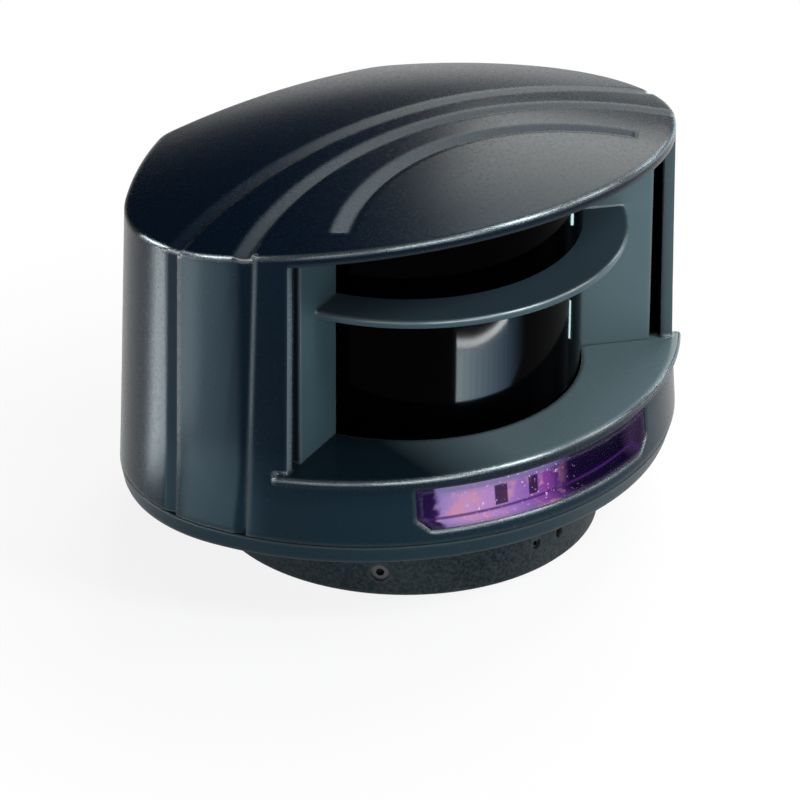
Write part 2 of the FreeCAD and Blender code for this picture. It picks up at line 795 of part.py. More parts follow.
def make_bracket():
    bore = dim.pivot_radius + dim.running_gap
    inner = dim.bracket_radius - dim.bracket_wall
    edge = dim.bracket_edge
    part = spin("bracket_cup", [
        (bore, 0), (dim.bracket_radius - edge, 0), (dim.bracket_radius, edge),
        (dim.bracket_radius, dim.bracket_height - edge),
        (dim.bracket_radius - edge, dim.bracket_height), (inner, dim.bracket_height),
        (inner, dim.bracket_floor), (bore, dim.bracket_floor),
    ])
    drawing = Draw(part)
    for quarter in range(4):
        turn = dim.wall_screw_turn + 90.0 * quarter
        out = dim.screw_circle * -0.5
        drawing.circle(sine(turn) * out, cosine(turn) * out, dim.wall_screw_radius)
    feature(part, "Pocket", drawing, Length=dim.bracket_floor, Reversed=True)
    holes = [bracket_hole("lock_hole", dim.lock_screw_radius, SIZES["lock_screw_angle"],
                          dim.lock_screw_height)]
    holes += [bracket_hole("tilt_hole", dim.tilt_screw_radius, angle, dim.tilt_screw_height)
              for angle in TILT_SCREW_ANGLES]
    node(cut("bracket_base", part, *holes), "bracket_base")

    start = dim.bracket_radius - dim.bracket_edge
    length = start - dim.disc_radius - dim.fit_gap
    screw = set_screw("lock_screw", dim.lock_screw_radius, length, SIZES["lock_screw_angle"],
                      dim.lock_screw_height, start)
    node(screw, "lock_screw")
    group("tilt_lock_screws", [
        set_screw("tilt_lock_screw", dim.tilt_screw_radius, dim.tilt_screw_length, angle,
                  dim.tilt_screw_height, start) for angle in TILT_SCREW_ANGLES])


def make_swivel():
    low = dim.bracket_floor + dim.seat_gap
    top = low + dim.disc_height
    disc = spin("swivel_disc", [
        (0, dim.bracket_edge), (dim.pivot_radius, dim.bracket_edge), (dim.pivot_radius, low),
        (dim.disc_radius, low), (dim.disc_radius, top), (0, top),
    ])
    inner_x = dim.disc_radius - dim.ear_thickness
    ears = []
    pins = []
    pin_length = dim.ear_thickness + dim.lug_gap + dim.lug_thickness
    for side in (1, -1):
        ends = sorted((inner_x * side, dim.disc_radius * side), key=lambda value: value.number)
        ears.append(box("ear", (ends[0], -dim.ear_half_width, low),
                        (ends[1], dim.ear_half_width, dim.ear_top)))
        start = inner_x if side > 0 else -inner_x - pin_length
        pins.append(rod("tilt_pin", dim.pin_radius, pin_length, start, 0,
                        dim.tilt_axis_height, ALONG_X))
    whole = fuse("swivel_whole", disc, *ears)
    bore = rod("ear_bore", dim.pin_radius, dim.disc_radius * 2.0 + 2.0,
               -dim.disc_radius - 1.0, 0, dim.tilt_axis_height, ALONG_X)
    node(cut("swivel_plate", whole, bore), "swivel_plate")
    group("tilt_pins", pins)


def make_bezel():
    """Two cheeks beside the windows and the thin curved baffle that joins them."""
    part = body("bezel_cheeks")
    along = FreeCAD.Vector(SIZES["cheek_outer_x"] - SIZES["cheek_inner_x"],
                           SIZES["cheek_inner_y"] - SIZES["cheek_outer_y"], 0).normalize()
    back_x = dim.cheek_thickness * -along.y
    back_y = dim.cheek_thickness * along.x
    drawing = Draw(part, lift=dim.sill_height)
    corners = [
        (dim.cheek_outer_x, -dim.cheek_outer_y), (dim.cheek_inner_x, -dim.cheek_inner_y),
    ]
    corners += [(x + back_x, y + back_y) for x, y in reversed(corners)]
    baffle_y = -dim.baffle_front + dim.baffle_radius
    for side in (1, -1):
        drawing.polygon([(x * side, y) for x, y in corners])
    feature(part, "Pad", drawing, Length=dim.loft_top - dim.sill_height)
    limit = ball("bezel_limit", dim.dome_radius - dim.dome_thickness - dim.fit_gap)
    cheeks = common("bezel_domed", part, limit)
    window_gap = dim.window_radius + dim.fit_gap
    clear = rod("window_room", window_gap, dim.loft_top, 0, 0, 0)
    cheeks = cut("bezel_side", cheeks, clear)

    plate = body("baffle_plate")
    low = dim.baffle_top - dim.baffle_thickness
    sheet_drawing = Draw(plate, lift=low)
    start = -math.acos(dim.baffle_end_x.number / dim.baffle_radius.number)
    geo_arc = sheet_drawing.arc((0, baffle_y.number), dim.baffle_radius.number,
                                -math.pi - start, start)
    inner = (dim.cheek_inner_x + back_x * 0.5, back_y * 0.5 - dim.cheek_inner_y)
    ends = [(dim.baffle_radius.number * math.cos(start) * side,
             baffle_y.number + dim.baffle_radius.number * math.sin(start)) for side in (1, -1)]
    run = [ends[0], inner, (-inner[0], inner[1]), ends[1]]
    geos = [sheet_drawing.line(a, b) for a, b in zip(run, run[1:])]
    sheet_drawing.add("Radius", geo_arc, value=dim.baffle_radius)
    sheet_drawing.hold(geo_arc, 3, 0, baffle_y)
    sheet_drawing.add("Coincident", geo_arc, 2, geos[0], 1)
    sheet_drawing.add("Coincident", geo_arc, 1, geos[-1], 2)
    sheet_drawing.along("DistanceX", geo_arc, 2, dim.baffle_end_x, -2)
    sheet_drawing.along("DistanceX", geo_arc, 1, -dim.baffle_end_x, -2)
    for first, second, corner in zip(geos, geos[1:], run[1:3]):
        sheet_drawing.add("Coincident", first, 2, second, 1)
        sheet_drawing.hold(second, 1, *corner)
    feature(plate, "Pad", sheet_drawing, Length=dim.baffle_thickness)
    inside = Draw(plate, lift=low).circle(0, 0, dim.window_radius - dim.window_wall)
    feature(plate, "Pocket", inside, Length=dim.baffle_thickness, Reversed=True)
    doc.recompute()

    def on_edge(edge):
        curve = edge.Curve
        outer = dim.baffle_radius.number
        return isinstance(curve, Part.Circle) and abs(curve.Radius - outer) < 0.01

    baffle = rounded("baffle_rounded", plate, dim.baffle_round, on_edge)
    node(fuse("scanner_bezel", cheeks, baffle), "scanner_bezel")


def make_windows():
    outer = -dim.window_radius
    inner = outer + dim.window_wall
    low = dim.baffle_top - dim.baffle_thickness
    lower = spin("lower_window", [
        (outer, dim.window_foot), (inner, dim.window_foot), (inner, low), (outer, low),
    ], "YZ_Plane", dim.window_angle, midplane=True)
    node(lower, "lower_window")
    upper = spin("upper_window_blank", [
        (outer, dim.baffle_top), (inner, dim.baffle_top), (inner, dim.loft_top),
        (outer, dim.loft_top),
    ], "YZ_Plane", dim.window_angle, midplane=True)
    limit = ball("window_limit", dim.dome_radius - dim.dome_thickness - dim.fit_gap)
    node(common("upper_window", upper, limit), "upper_window")


def make_indicator():
    front = -dim.strip_board_y - dim.strip_board_thickness
    floor = dim.base_bottom + dim.base_floor
    board = box("indicator_board", (-dim.strip_board_half_width, front, floor),
                (dim.strip_board_half_width, -dim.strip_board_y, dim.strip_board_top))
    node(board, "indicator_board")
    middle = (dim.lens_low + dim.lens_high) * 0.5

    def chips(name, spots, width, depth, height):
        return group(name, [
            box(f"{name}_piece", (x - width / 2, front - depth, middle - height / 2),
                (x + width / 2, front, middle + height / 2)) for x in spots])

    chips("remote_receivers", RECEIVER_SPOTS_X, 4.4, 2.2, 4.6)
    chips("status_lights", LIGHT_SPOTS_X, 3.2, 1.6, 2.8)


def make_chassis():
    part = body("chassis_frame")
    low = dim.chassis_floor
    half = dim.chassis_half_width
    back = dim.chassis_wall_y + dim.chassis_wall
    floor = [(-half, -dim.chassis_front), (half, -dim.chassis_front), (half, back), (-half, back)]
    feature(part, "Pad", Draw(part, lift=low).polygon(floor), Length=dim.chassis_thickness)
    wall = [(-half, low), (half, low), (half, dim.chassis_top), (-half, dim.chassis_top)]
    upright = Draw(part, "XZ_Plane", lift=-back).polygon(wall)
    feature(part, "Pad", upright, Length=dim.chassis_wall)
    rib_start = dim.chassis_wall_y - dim.rib_reach
    rib = [(rib_start, low), (dim.chassis_wall_y, low), (dim.chassis_wall_y, dim.receiver_height)]
    for side in (1, -1):
        offset = half * side if side < 0 else half - dim.chassis_thickness
        drawing = Draw(part, "YZ_Plane", lift=offset).polygon(rib)
        feature(part, "Pad", drawing, Length=dim.chassis_thickness)
    foot_low = dim.base_bottom + dim.base_floor
    feet = Draw(part, lift=foot_low)
    for x, y in foot_spots():
        feet.circle(x, y, dim.foot_radius)
    feature(part, "Pad", feet, Length=low - foot_low)
    bores = Draw(part, lift=foot_low)
    for x, y in foot_spots():
        bores.circle(x, y, dim.foot_screw_radius)
    thick = low - foot_low + dim.chassis_thickness
    feature(part, "Pocket", bores, Length=thick, Reversed=True)
    sight = Draw(part, "XZ_Plane", lift=-back)
    sight.circle(0, dim.laser_height, dim.laser_radius)
    sight.circle(0, dim.receiver_height, dim.receiver_radius)
    feature(part, "Pocket", sight, Length=dim.chassis_wall, Reversed=True)
    node(part, "chassis")

    turn_down = FreeCAD.Rotation(FreeCAD.Vector(1, 0, 0), 180)
    group("chassis_screws", [
        put(headed_screw("chassis_screw", dim.foot_screw_radius, thick + dim.foot_screw_bite,
                         dim.foot_screw_head, dim.foot_screw_head_height), x, y,
            low + dim.chassis_thickness, turn_down) for x, y in foot_spots()])


def make_motor():
    floor = dim.chassis_floor + dim.chassis_thickness
    stator = spin("motor_stator", [
        (dim.bearing_radius, floor), (dim.stator_radius, floor),
        (dim.stator_radius, dim.stator_top), (dim.bearing_radius, dim.stator_top),
    ])
    node(stator, "motor_stator")
    gap = dim.stator_top - floor - dim.bearing_width
    bearings = []
    for low in (floor, floor + gap):
        bearings.append(spin("motor_bearing", [
            (dim.bearing_bore, low), (dim.bearing_radius, low),
            (dim.bearing_radius, low + dim.bearing_width),
            (dim.bearing_bore, low + dim.bearing_width),
        ]))
    group("motor_bearings", bearings)

    node(rod("mirror_shaft", dim.shaft_radius, dim.shaft_top - dim.shaft_low, 0, 0,
             dim.shaft_low), "mirror_shaft")
    inner = dim.rotor_radius - dim.rotor_wall
    plate = dim.rotor_top - dim.rotor_plate
    cup = spin("rotor_cup", [
        (dim.shaft_radius, plate), (inner, plate), (inner, dim.rotor_low),
        (dim.rotor_radius, dim.rotor_low), (dim.rotor_radius, dim.rotor_top),
        (dim.shaft_radius, dim.rotor_top),
    ])
    node(cup, "rotor_cup")
    disc_top = dim.rotor_top + dim.encoder_thickness
    disc = spin("encoder_disc", [
        (dim.shaft_radius, dim.rotor_top), (dim.encoder_radius, dim.rotor_top),
        (dim.encoder_radius, disc_top), (dim.shaft_radius, disc_top),
    ])
    node(disc, "encoder_disc")

    drum = body("mirror_drum")
    hub = Draw(drum, lift=disc_top).circle(0, 0, dim.drum_hub)
    feature(drum, "Pad", hub, Length=dim.drum_foot - disc_top)
    half = dim.drum_half_width
    square = [(-half, -half), (half, -half), (half, half), (-half, half)]
    block = Draw(drum, lift=dim.drum_foot).polygon(square)
    feature(drum, "Pad", block, Length=dim.drum_top - dim.drum_foot)
    divider = Draw(drum, lift=dim.divider_low).circle(0, 0, dim.divider_radius)
    feature(drum, "Pad", divider, Length=dim.divider_thickness)
    bore = Draw(drum, lift=disc_top).circle(0, 0, dim.shaft_radius)
    feature(drum, "Pocket", bore, Length=dim.shaft_top - disc_top, Reversed=True)
    node(drum, "mirror_drum")

    fork = body("encoder_sensor")
    slot_low = dim.rotor_top + dim.encoder_thickness * 0.5 - dim.fork_slot * 0.5
    slot_high = slot_low + dim.fork_slot
    post = dim.encoder_radius + 1.0
    side = [
        (post, floor), (dim.fork_outer, floor), (dim.fork_outer, dim.fork_top),
        (dim.fork_inner, dim.fork_top), (dim.fork_inner, slot_high), (post, slot_high),
        (post, slot_low), (dim.fork_inner, slot_low), (dim.fork_inner, slot_low - 1.2),
        (post, slot_low - 1.2),
    ]
    feature(fork, "Pad", Draw(fork, "YZ_Plane").polygon(side), Length=dim.fork_half_width * 2.0,
            Midplane=True)
    node(fork, "encoder_sensor")


def make_optics():
    wall_front = dim.chassis_wall_y
    wall_back = wall_front + dim.chassis_wall
    node(rod("laser_module", dim.laser_radius, dim.laser_length, 0,
             wall_front + dim.laser_lens_thickness * 0.5, dim.laser_height, ALONG_Y),
         "laser_module")
    lens_y = wall_front - dim.laser_lens_thickness * 0.5
    node(rod("laser_lens", dim.laser_radius, dim.laser_lens_thickness, 0, lens_y,
             dim.laser_height, ALONG_Y), "laser_lens")

    lens = body("receiver_lens")
    rim = dim.receiver_radius
    crown = dim.receiver_thickness
    profile = [(0, 0), (rim, 0), (rim, crown - dim.receiver_crown),
               (rim * 0.5, crown - dim.receiver_crown * 0.25), (0, crown)]
    drawing = Draw(lens, "XZ_Plane").polygon(profile)
    turned = feature(lens, "Revolution", drawing)
    turned.ReferenceAxis = (drawing.sketch, ["V_Axis"])
    toward_front = FreeCAD.Rotation(FreeCAD.Vector(1, 0, 0), 90)
    put(lens, 0, wall_back, dim.receiver_height, toward_front)
    node(lens, "receiver_lens")

    half = dim.receiver_board_half
    board_low = wall_back
    thick = dim.board_thickness
    plate = box("receiver_board", (-half, board_low, dim.receiver_height - half),
                (half, board_low + thick, dim.receiver_height + half))
    node(plate, "receiver_board")
    diode = box("photodiode", (-2.5, board_low + thick, dim.receiver_height - 2.5),
                (2.5, board_low + thick + 1.5, dim.receiver_height + 2.5))
    node(diode, "photodiode")


def make_main_board():
    front = dim.board_y
    back = front + dim.board_thickness
    wall_back = dim.chassis_wall_y + dim.chassis_wall
    spots = [(dim.standoff_x * side, z) for side in (1, -1)
             for z in (dim.standoff_low, dim.standoff_high)]
    plate = box("board_plate", (-dim.board_half_width, front, dim.board_low),
                (dim.board_half_width, back, dim.board_high))
    holes = [rod("board_hole", dim.board_screw_radius, dim.board_thickness, x, front, z, ALONG_Y)
             for x, z in spots]
    laser_room = rod("board_laser_room", dim.laser_radius + 1.0, dim.laser_length, 0, front,
                     dim.laser_height, ALONG_Y)
    node(cut("main_board", plate, laser_room, *holes), "main_board")
    posts = []
    for x, z in spots:
        post = rod("standoff", dim.standoff_radius, front - wall_back, x, wall_back, z, ALONG_Y)
        hole = rod("standoff_hole", dim.board_screw_radius, front - wall_back, x, wall_back, z,
                   ALONG_Y)
        posts.append(cut("standoff", post, hole))
    group("board_standoffs", posts)
    inward = FreeCAD.Rotation(FreeCAD.Vector(1, 0, 0), 90)
    group("board_screws", [
        put(headed_screw("board_screw", dim.board_screw_radius, size(4.0), size(2.2), size(1.4)),
            x, back, z, inward) for x, z in spots])
    group("board_chips", [
        box("board_chip", (x - half, back, z - half), (x + half, back + 1.2, z + half))
        for x, z, half in CHIP_SPOTS])
    node(box("board_connector", (10.0, back, 41.0), (18.0, back + 4.0, 46.0)), "board_connector")


def make_inlet():
    """Rubber grommet in the flat back wall, with a bore for the lead."""
    flare = (dim.back_low - dim.back_high) / (dim.loft_top - dim.seam_high)
    face = dim.back_low - flare * (dim.inlet_height - dim.inlet_flange - dim.seam_high)
    inner = face - dim.wall - dim.fit_gap * 3.0
    outer = face + dim.fit_gap
    grommet = spin("cable_inlet", [
        (dim.inlet_bore, inner - 2.0), (dim.inlet_flange, inner - 2.0), (dim.inlet_flange, inner),
        (dim.inlet_radius, inner), (dim.inlet_radius, outer), (dim.inlet_flange, outer),
        (dim.inlet_flange - 0.8, outer + 1.6), (dim.inlet_bore, outer + 1.6),
    ])
    put(grommet, 0, 0, dim.inlet_height, ALONG_Y)
    node(grommet, "cable_inlet")


make_bracket()
make_swivel()
make_cover()
make_base()
make_bezel()
make_windows()
make_indicator()
make_chassis()
make_motor()
make_optics()
make_main_board()
make_inlet()
doc.recompute()

for thing in doc.Objects:
    if "Invalid" in thing.State or "Error" in thing.State:
        raise RuntimeError(f"{thing.Name} ({thing.Label}) failed: {thing.getStatusString()}")
for thing in NODES:
    if thing.Shape.isNull() or not thing.Shape.isValid() or not thing.Shape.Solids:
        raise RuntimeError(f"{thing.Label} has no sound shape")
for thing in NODES:
    thing.Shape.exportStep(os.path.join("parts", f"{thing.Label}.step"))
    print(f"{thing.Label:20s} {len(thing.Shape.Solids)} solid(s) {thing.Shape.Volume:10.1f} mm3")
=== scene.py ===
import json
import math

import bmesh
import bpy
from mathutils import Matrix, Vector


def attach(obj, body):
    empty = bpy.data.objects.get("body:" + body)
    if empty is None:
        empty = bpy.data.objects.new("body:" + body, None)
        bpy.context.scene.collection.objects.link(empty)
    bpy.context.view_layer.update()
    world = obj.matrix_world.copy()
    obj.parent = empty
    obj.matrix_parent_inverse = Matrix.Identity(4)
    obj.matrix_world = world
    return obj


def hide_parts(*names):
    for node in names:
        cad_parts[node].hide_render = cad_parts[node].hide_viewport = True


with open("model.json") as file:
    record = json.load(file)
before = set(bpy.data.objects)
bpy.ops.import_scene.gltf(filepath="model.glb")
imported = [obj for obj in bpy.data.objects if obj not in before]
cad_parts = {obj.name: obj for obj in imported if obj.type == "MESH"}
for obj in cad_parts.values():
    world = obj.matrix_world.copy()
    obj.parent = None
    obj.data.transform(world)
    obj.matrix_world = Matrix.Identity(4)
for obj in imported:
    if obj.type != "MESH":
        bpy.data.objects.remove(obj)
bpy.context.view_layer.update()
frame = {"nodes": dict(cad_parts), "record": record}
NODES = frame["nodes"]
MM = 0.001

# The photograph's camera: direction to it, distance, roll and small offsets of its aim.
CAMERA_AZIMUTH = math.radians(-37.16)
CAMERA_ELEVATION = math.radians(28.65)
CAMERA_ROLL = math.radians(0.40)
CAMERA_DISTANCE = 1253 * MM
CAMERA_AIM = Vector((0, 0, 35 * MM))
CAMERA_OFFSET_RIGHT = -0.97 * MM
CAMERA_OFFSET_UP = -9.95 * MM
CAMERA_LENS = 270.0
SENSOR_WIDTH = 36.0

# Front wall of the hood, needed where pieces follow it: radius and centre at two heights.
WALL_LOW_Z = 19.5
WALL_HIGH_Z = 34.5
WALL_RADIUS = (66.0, 66.6)
WALL_FRONT = (51.5, 49.6)
# Top of the sill, half the band that counts as level with it, and the depth at which it starts.
SHELF_Z = 34.5 * MM
SHELF_BAND = 0.18 * MM
SHELF_BLUR = 0.12 * MM
SHELF_Y = -17.0 * MM
# Across the hood, the sill and the opening's sides blend from their left tone to their right one: painted
# light and shade.
BLEND_LEFT = -27.0 * MM
BLEND_RIGHT = -7.0 * MM
# The skirt is painted paler, as light from the floor, from the upper of these heights down to the lower
# one.
SKIRT_LOW = 27.0 * MM
SKIRT_HIGH = 40.0 * MM
SKIRT_SHARE = 0.85
# Ranges of a normal's component over which a face counts as facing up or to the front.
FACING_UP = (0.6, 0.9)
FACING_FRONT = (-0.8, -0.6)
# Ranges of x times the normal's x: the opening's sides face inwards, the ends of the cheeks outwards.
OPENING_SIDE = (-20.0 * MM, -14.0 * MM)
CHEEK_END = (36.0 * MM, 40.0 * MM)
# Between these places the cheeks and the baffle are painted lighter to the right, as painted light.
CHEEK_PAINTED_LIGHT = (10.0 * MM, 32.0 * MM)
# Moulded edges are broken by a small radius that only shows in how they catch the light.
EDGE_ROUND = 1.0 * MM
HOOD_ROUND = 1.7 * MM
# How far in from an outer edge its painted highlight reaches.
EDGE_REACH = 0.9 * MM
# Upward share of a rounded edge's normal within which the edge gets a pale painted highlight, and how
# metallic it looks.
CREST_LOW = 0.30
CREST_HIGH = 0.82
CREST_BLUR = 0.08
CREST_METAL = 0.85
# The rim of the hood lies outside this circle and its ridges inside; all below the top gets the painted
# highlight too.
RIM_CENTER_Y = 18.5 * MM
RIM_INNER = 61.5 * MM
RIM_OUTER = 62.2 * MM
TOP_LOW = 70.0 * MM
# Face of the hindmost ridge on the side walls: its two edges, the walls' inner reach and the top.
GROOVE_FRONT = -4.9 * MM
GROOVE_BACK = -2.5 * MM
GROOVE_BLUR = 0.25 * MM
GROOVE_REACH = 58.0 * MM
GROOVE_TOP = 78.0 * MM
GROOVE_DULL = 0.45
# Height of the moulded grain, how far its flecks change the roughness, and the share of tone that drifts.
GRAIN_HEIGHT = 0.12 * MM
FLECK_ROUGHNESS = 0.07
DRIFT_SHARE = 0.45


class Signal:
    """An output socket of a finish; sums and products of signals add Math nodes."""

    def __init__(self, finish, socket):
        self.finish = finish
        self.socket = socket

    def math(self, operation, first, second):
        return self.finish.node("ShaderNodeMath", {"operation": operation}, {0: first, 1: second})

    def __add__(self, other):
        return self.math("ADD", self, other)

    def __radd__(self, other):
        return self.math("ADD", other, self)

    def __sub__(self, other):
        return self.math("SUBTRACT", self, other)

    def __rsub__(self, other):
        return self.math("SUBTRACT", other, self)

    def __mul__(self, other):
        return self.math("MULTIPLY", self, other)

    def __rmul__(self, other):
        return self.math("MULTIPLY", other, self)

    def over(self, level):
        return self.math("GREATER_THAN", self, level)


class Finish:
    """A node material with a few helpers for what moulded and metal parts show."""

    def __init__(self, name):
        self.material = bpy.data.materials.new(name)
        self.material.use_nodes = True
        self.tree = self.material.node_tree
        self.tree.nodes.clear()
        self.coords = self.node("ShaderNodeTexCoord", output="Object")

    def node(self, kind, settings=None, inputs=None, output=0):
        made = self.tree.nodes.new(kind)
        for key, value in (settings or {}).items():
            if key == "stops":
                ramp = made.color_ramp
                while len(ramp.elements) < len(value):
                    ramp.elements.new(1.0)
                for element, (place, color) in zip(ramp.elements, value):
                    element.position = place
                    element.color = color if len(color) == 4 else (*color, 1.0)
            else:
                setattr(made, key, value)
        for key, value in (inputs or {}).items():
            self.feed(made.inputs[key], value)
        return Signal(self, made.outputs[output]) if made.outputs else None

    def feed(self, target, value):
        if isinstance(value, Signal):
            self.tree.links.new(value.socket, target)
        elif target.type == "RGBA" and len(value) == 3:
            target.default_value = (*value, 1.0)
        else:
            target.default_value = value

    def noise(self, scale, detail=2.0, roughness=0.5, vector=None):
        inputs = {"Vector": vector or self.coords, "Scale": scale, "Detail": detail,
                  "Roughness": roughness}
        return self.node("ShaderNodeTexNoise", None, inputs)

    def stretched(self, x, y, z):
        return self.node("ShaderNodeMapping", None, {"Vector": self.coords, "Scale": (x, y, z)})

    def ramp(self, factor, stops):
        return self.node("ShaderNodeValToRGB", {"stops": stops}, {0: factor})

    def level(self, factor, low, high, to_low=0.0, to_high=1.0):
        inputs = {"Value": factor, "From Min": low, "From Max": high, "To Min": to_low,
                  "To Max": to_high}
        return self.node("ShaderNodeMapRange", {"clamp": True}, inputs)

    def mix(self, factor, first, second):
        """Blend two colours; the colour sockets of a Mix node are 6 and 7, its result 2."""
        return self.node("ShaderNodeMix", {"data_type": "RGBA"}, {0: factor, 6: first, 7: second},
                         output=2)

    def axis(self, index, vector=None):
        """One component of a vector, or of the place on the object."""
        return self.node("ShaderNodeSeparateXYZ", None, {0: vector or self.coords}, output=index)

    def geometry(self, output):
        return self.node("ShaderNodeNewGeometry", output=output)

    def soft_edges(self, radius):
        """Normals that turn softly over sharp edges, so that these catch the light."""
        return self.node("ShaderNodeBevel", {"samples": 6}, {"Radius": radius})

    def outer_edges(self, reach):
        """1 along outer edges and tight roundings, 0 on open faces."""
        depth = self.node("ShaderNodeAmbientOcclusion",
                          {"inside": True, "only_local": True, "samples": 8},
                          {"Distance": reach}, output="AO")
        return self.level(depth, 0.55, 0.92, 1.0, 0.0)

    def between(self, value, low, high, blur):
        """1 where a value lies between two bounds, with blurred ends."""
        rising = self.level(value, low - blur, low + blur)
        falling = self.level(value, high - blur, high + blur, 1.0, 0.0)
        return rising * falling

    def bump(self, height, strength, distance, below=None):
        inputs = {"Height": height, "Strength": strength, "Distance": distance}
        if below:
            inputs["Normal"] = below
        return self.node("ShaderNodeBump", None, inputs)

    def surface(self, **inputs):
        """Finish with a principled surface; argument names are socket names with underscores."""
        named = {key.replace("_", " "): value for key, value in inputs.items()}
        shader = self.node("ShaderNodeBsdfPrincipled", None, named)
        self.node("ShaderNodeOutputMaterial", None, {"Surface": shader})
        return self.material


def sill_painted_light_and_shade(finish, color):
    """Painted light and shade: a paler lower skirt, and the sill and the front of the opening's sides,
    which change from left to right.
    """
    x, depth, height = [finish.axis(index) for index in range(3)]
    level_with = finish.between(height, SHELF_Z - SHELF_BAND, SHELF_Z + SHELF_BAND, SHELF_BLUR)
    ahead = finish.level(depth, SHELF_Y - MM, SHELF_Y + MM, 1.0, 0.0)
    outward = finish.geometry("True Normal")
    upper = finish.level(finish.axis(2, outward), *FACING_UP)
    side = finish.level(x, BLEND_LEFT, BLEND_RIGHT)
    # Painted light from the floor: the lower skirt is paler.
    skirt = finish.level(height, SKIRT_LOW, SKIRT_HIGH, SKIRT_SHARE, 0.0)
    color = finish.mix(skirt, color, SKIRT_PAINTED_LIGHT)
    # Painted shade on the left of the sill's top, painted light on its right.
    color = finish.mix(level_with * ahead * upper, color, finish.mix(side, SHELF_PAINTED_SHADE, SHELF_PAINTED_LIGHT))
    # Painted light on the front of the opening's left side, painted shade on the right one.
    inward = finish.level(finish.axis(0, outward) * x, *OPENING_SIDE, 1.0, 0.0)
    forward = finish.level(finish.axis(1, outward), *FACING_FRONT, 1.0, 0.0)
    return finish.mix(inward * forward, color, finish.mix(side, RETURN_PAINTED_LIGHT, RETURN_PAINTED_SHADE))


def hood_rim(finish):
    """1 along the rim of the hood and everywhere below its top, 0 on the ridges of the top."""
    x, y = finish.axis(0), finish.axis(1) - RIM_CENTER_Y
    below = finish.level(finish.axis(2), TOP_LOW, TOP_LOW + MM, 1.0, 0.0)
    outside = finish.level(x * x + y * y, RIM_INNER ** 2, RIM_OUTER ** 2)
    return finish.level(outside + below, 0.0, 1.0)


def side_groove(finish):
    """1 on the dull face of the hindmost ridge where it runs down the side walls."""
    x = finish.axis(0)
    face = finish.between(finish.axis(1), GROOVE_FRONT, GROOVE_BACK, GROOVE_BLUR)
    wall = finish.level(x * x, GROOVE_REACH ** 2, (GROOVE_REACH + MM) ** 2)
    return face * wall * finish.level(finish.axis(2), GROOVE_TOP, GROOVE_TOP + MM, 1.0, 0.0)


def all_crests(finish):
    """1 everywhere, for pieces on which every rounded edge gets the painted highlight."""
    return 1.0


def recess_painted_light_and_shade(finish, color):
    """Painted light and shade on the cheeks and the baffle beside the windows: painted shade on top of
    the baffle and on the cheeks' ends, painted light to the right.
    """
    outward = finish.geometry("True Normal")
    upper = finish.level(finish.axis(2, outward), *FACING_UP)
    x = finish.axis(0)
    # Painted light: the cheeks and the baffle grow paler to the right.
    color = finish.mix(finish.level(x, *CHEEK_PAINTED_LIGHT), color, SLATE_PAINTED_LIGHT)
    # Painted shade on the top of the baffle.
    color = finish.mix(upper, color, BAFFLE_PAINTED_SHADE)
    # Painted shade on the ends of the cheeks, in the slots beside them.
    ends = finish.level(finish.axis(0, outward) * x, *CHEEK_END)
    return finish.mix(ends, color, SHELF_PAINTED_SHADE)


def grained_plastic(name, dark, light, roughness=0.38, grain=1.0, grain_scale=2600.0,
                    edge=0.2, crest=None, tint=None, dull=None, turn=EDGE_ROUND):
    """Moulded plastic with a fine spark-eroded grain and slow drifts of tone.

    Edge is how strongly sharp edges get a paler painted highlight, and turn the radius over which they
    round off.
    Three functions of the finish change it in places: crest gives the share of painted highlight, pale
    and partly metallic, on rounded upper edges, tint paints light and shade into the colour, and dull
    tells where the surface is rougher.
    """
    finish = Finish(name)
    fine = finish.noise(grain_scale, 3.0, 0.6)
    flecks = finish.noise(grain_scale * 0.55, 1.0)
    drift = finish.noise(28.0, 3.0)
    slow = finish.level(drift, 0.3, 0.7) * DRIFT_SHARE
    quick = finish.level(fine, 0.35, 0.7) * (1.0 - DRIFT_SHARE)
    color = finish.mix(slow + quick, dark, light)
    if tint:
        color = tint(finish, color)
    soft = finish.soft_edges(turn)
    # Painted highlight: outer edges are painted paler and get the coat, as edges catching the light.
    painted_highlight = finish.outer_edges(EDGE_REACH) * edge
    color = finish.mix(painted_highlight, color, EDGE_PAINTED_HIGHLIGHT)
    relief = fine
    metal = 0.0
    if crest:
        upward = finish.axis(2, soft)
        # Painted highlight: rounded upper edges are painted pale and made partly metallic to catch the
        # light.
        rounded = finish.between(upward, CREST_LOW, CREST_HIGH, CREST_BLUR) * crest(finish)
        color = finish.mix(rounded, color, CREST_PAINTED_HIGHLIGHT)
        painted_highlight = painted_highlight + rounded
        relief = fine * (1.0 - rounded)
        metal = rounded * CREST_METAL
    rough = roughness + (finish.level(flecks, 0.3, 0.7) - 0.5) * FLECK_ROUGHNESS
    if dull:
        rough = rough + dull(finish) * GROOVE_DULL
    normal = finish.bump(relief, 0.10 * grain, GRAIN_HEIGHT, soft)
    return finish.surface(Base_Color=color, Roughness=rough, Normal=normal, Metallic=metal,
                          Coat_Weight=finish.level(painted_highlight, 0.0, 1.0), Coat_Roughness=0.15,
                          Specular_IOR_Level=0.1, Specular_Tint=SHEEN_TINT)


def gloss_window(name):
    """Black polished window with the faintest waves and dust."""
    finish = Finish(name)
    waves = finish.noise(60.0, 2.0)
    dust = finish.noise(5200.0, 1.0)
    color = finish.mix(waves, WINDOW_DARK, WINDOW_LIGHT)
    rough = 0.07 + finish.level(dust, 0.55, 0.8) * 0.05
    normal = finish.bump(waves, 0.08, 0.0004)
    return finish.surface(Base_Color=color, Roughness=rough, Normal=normal,
                          Specular_IOR_Level=0.012)


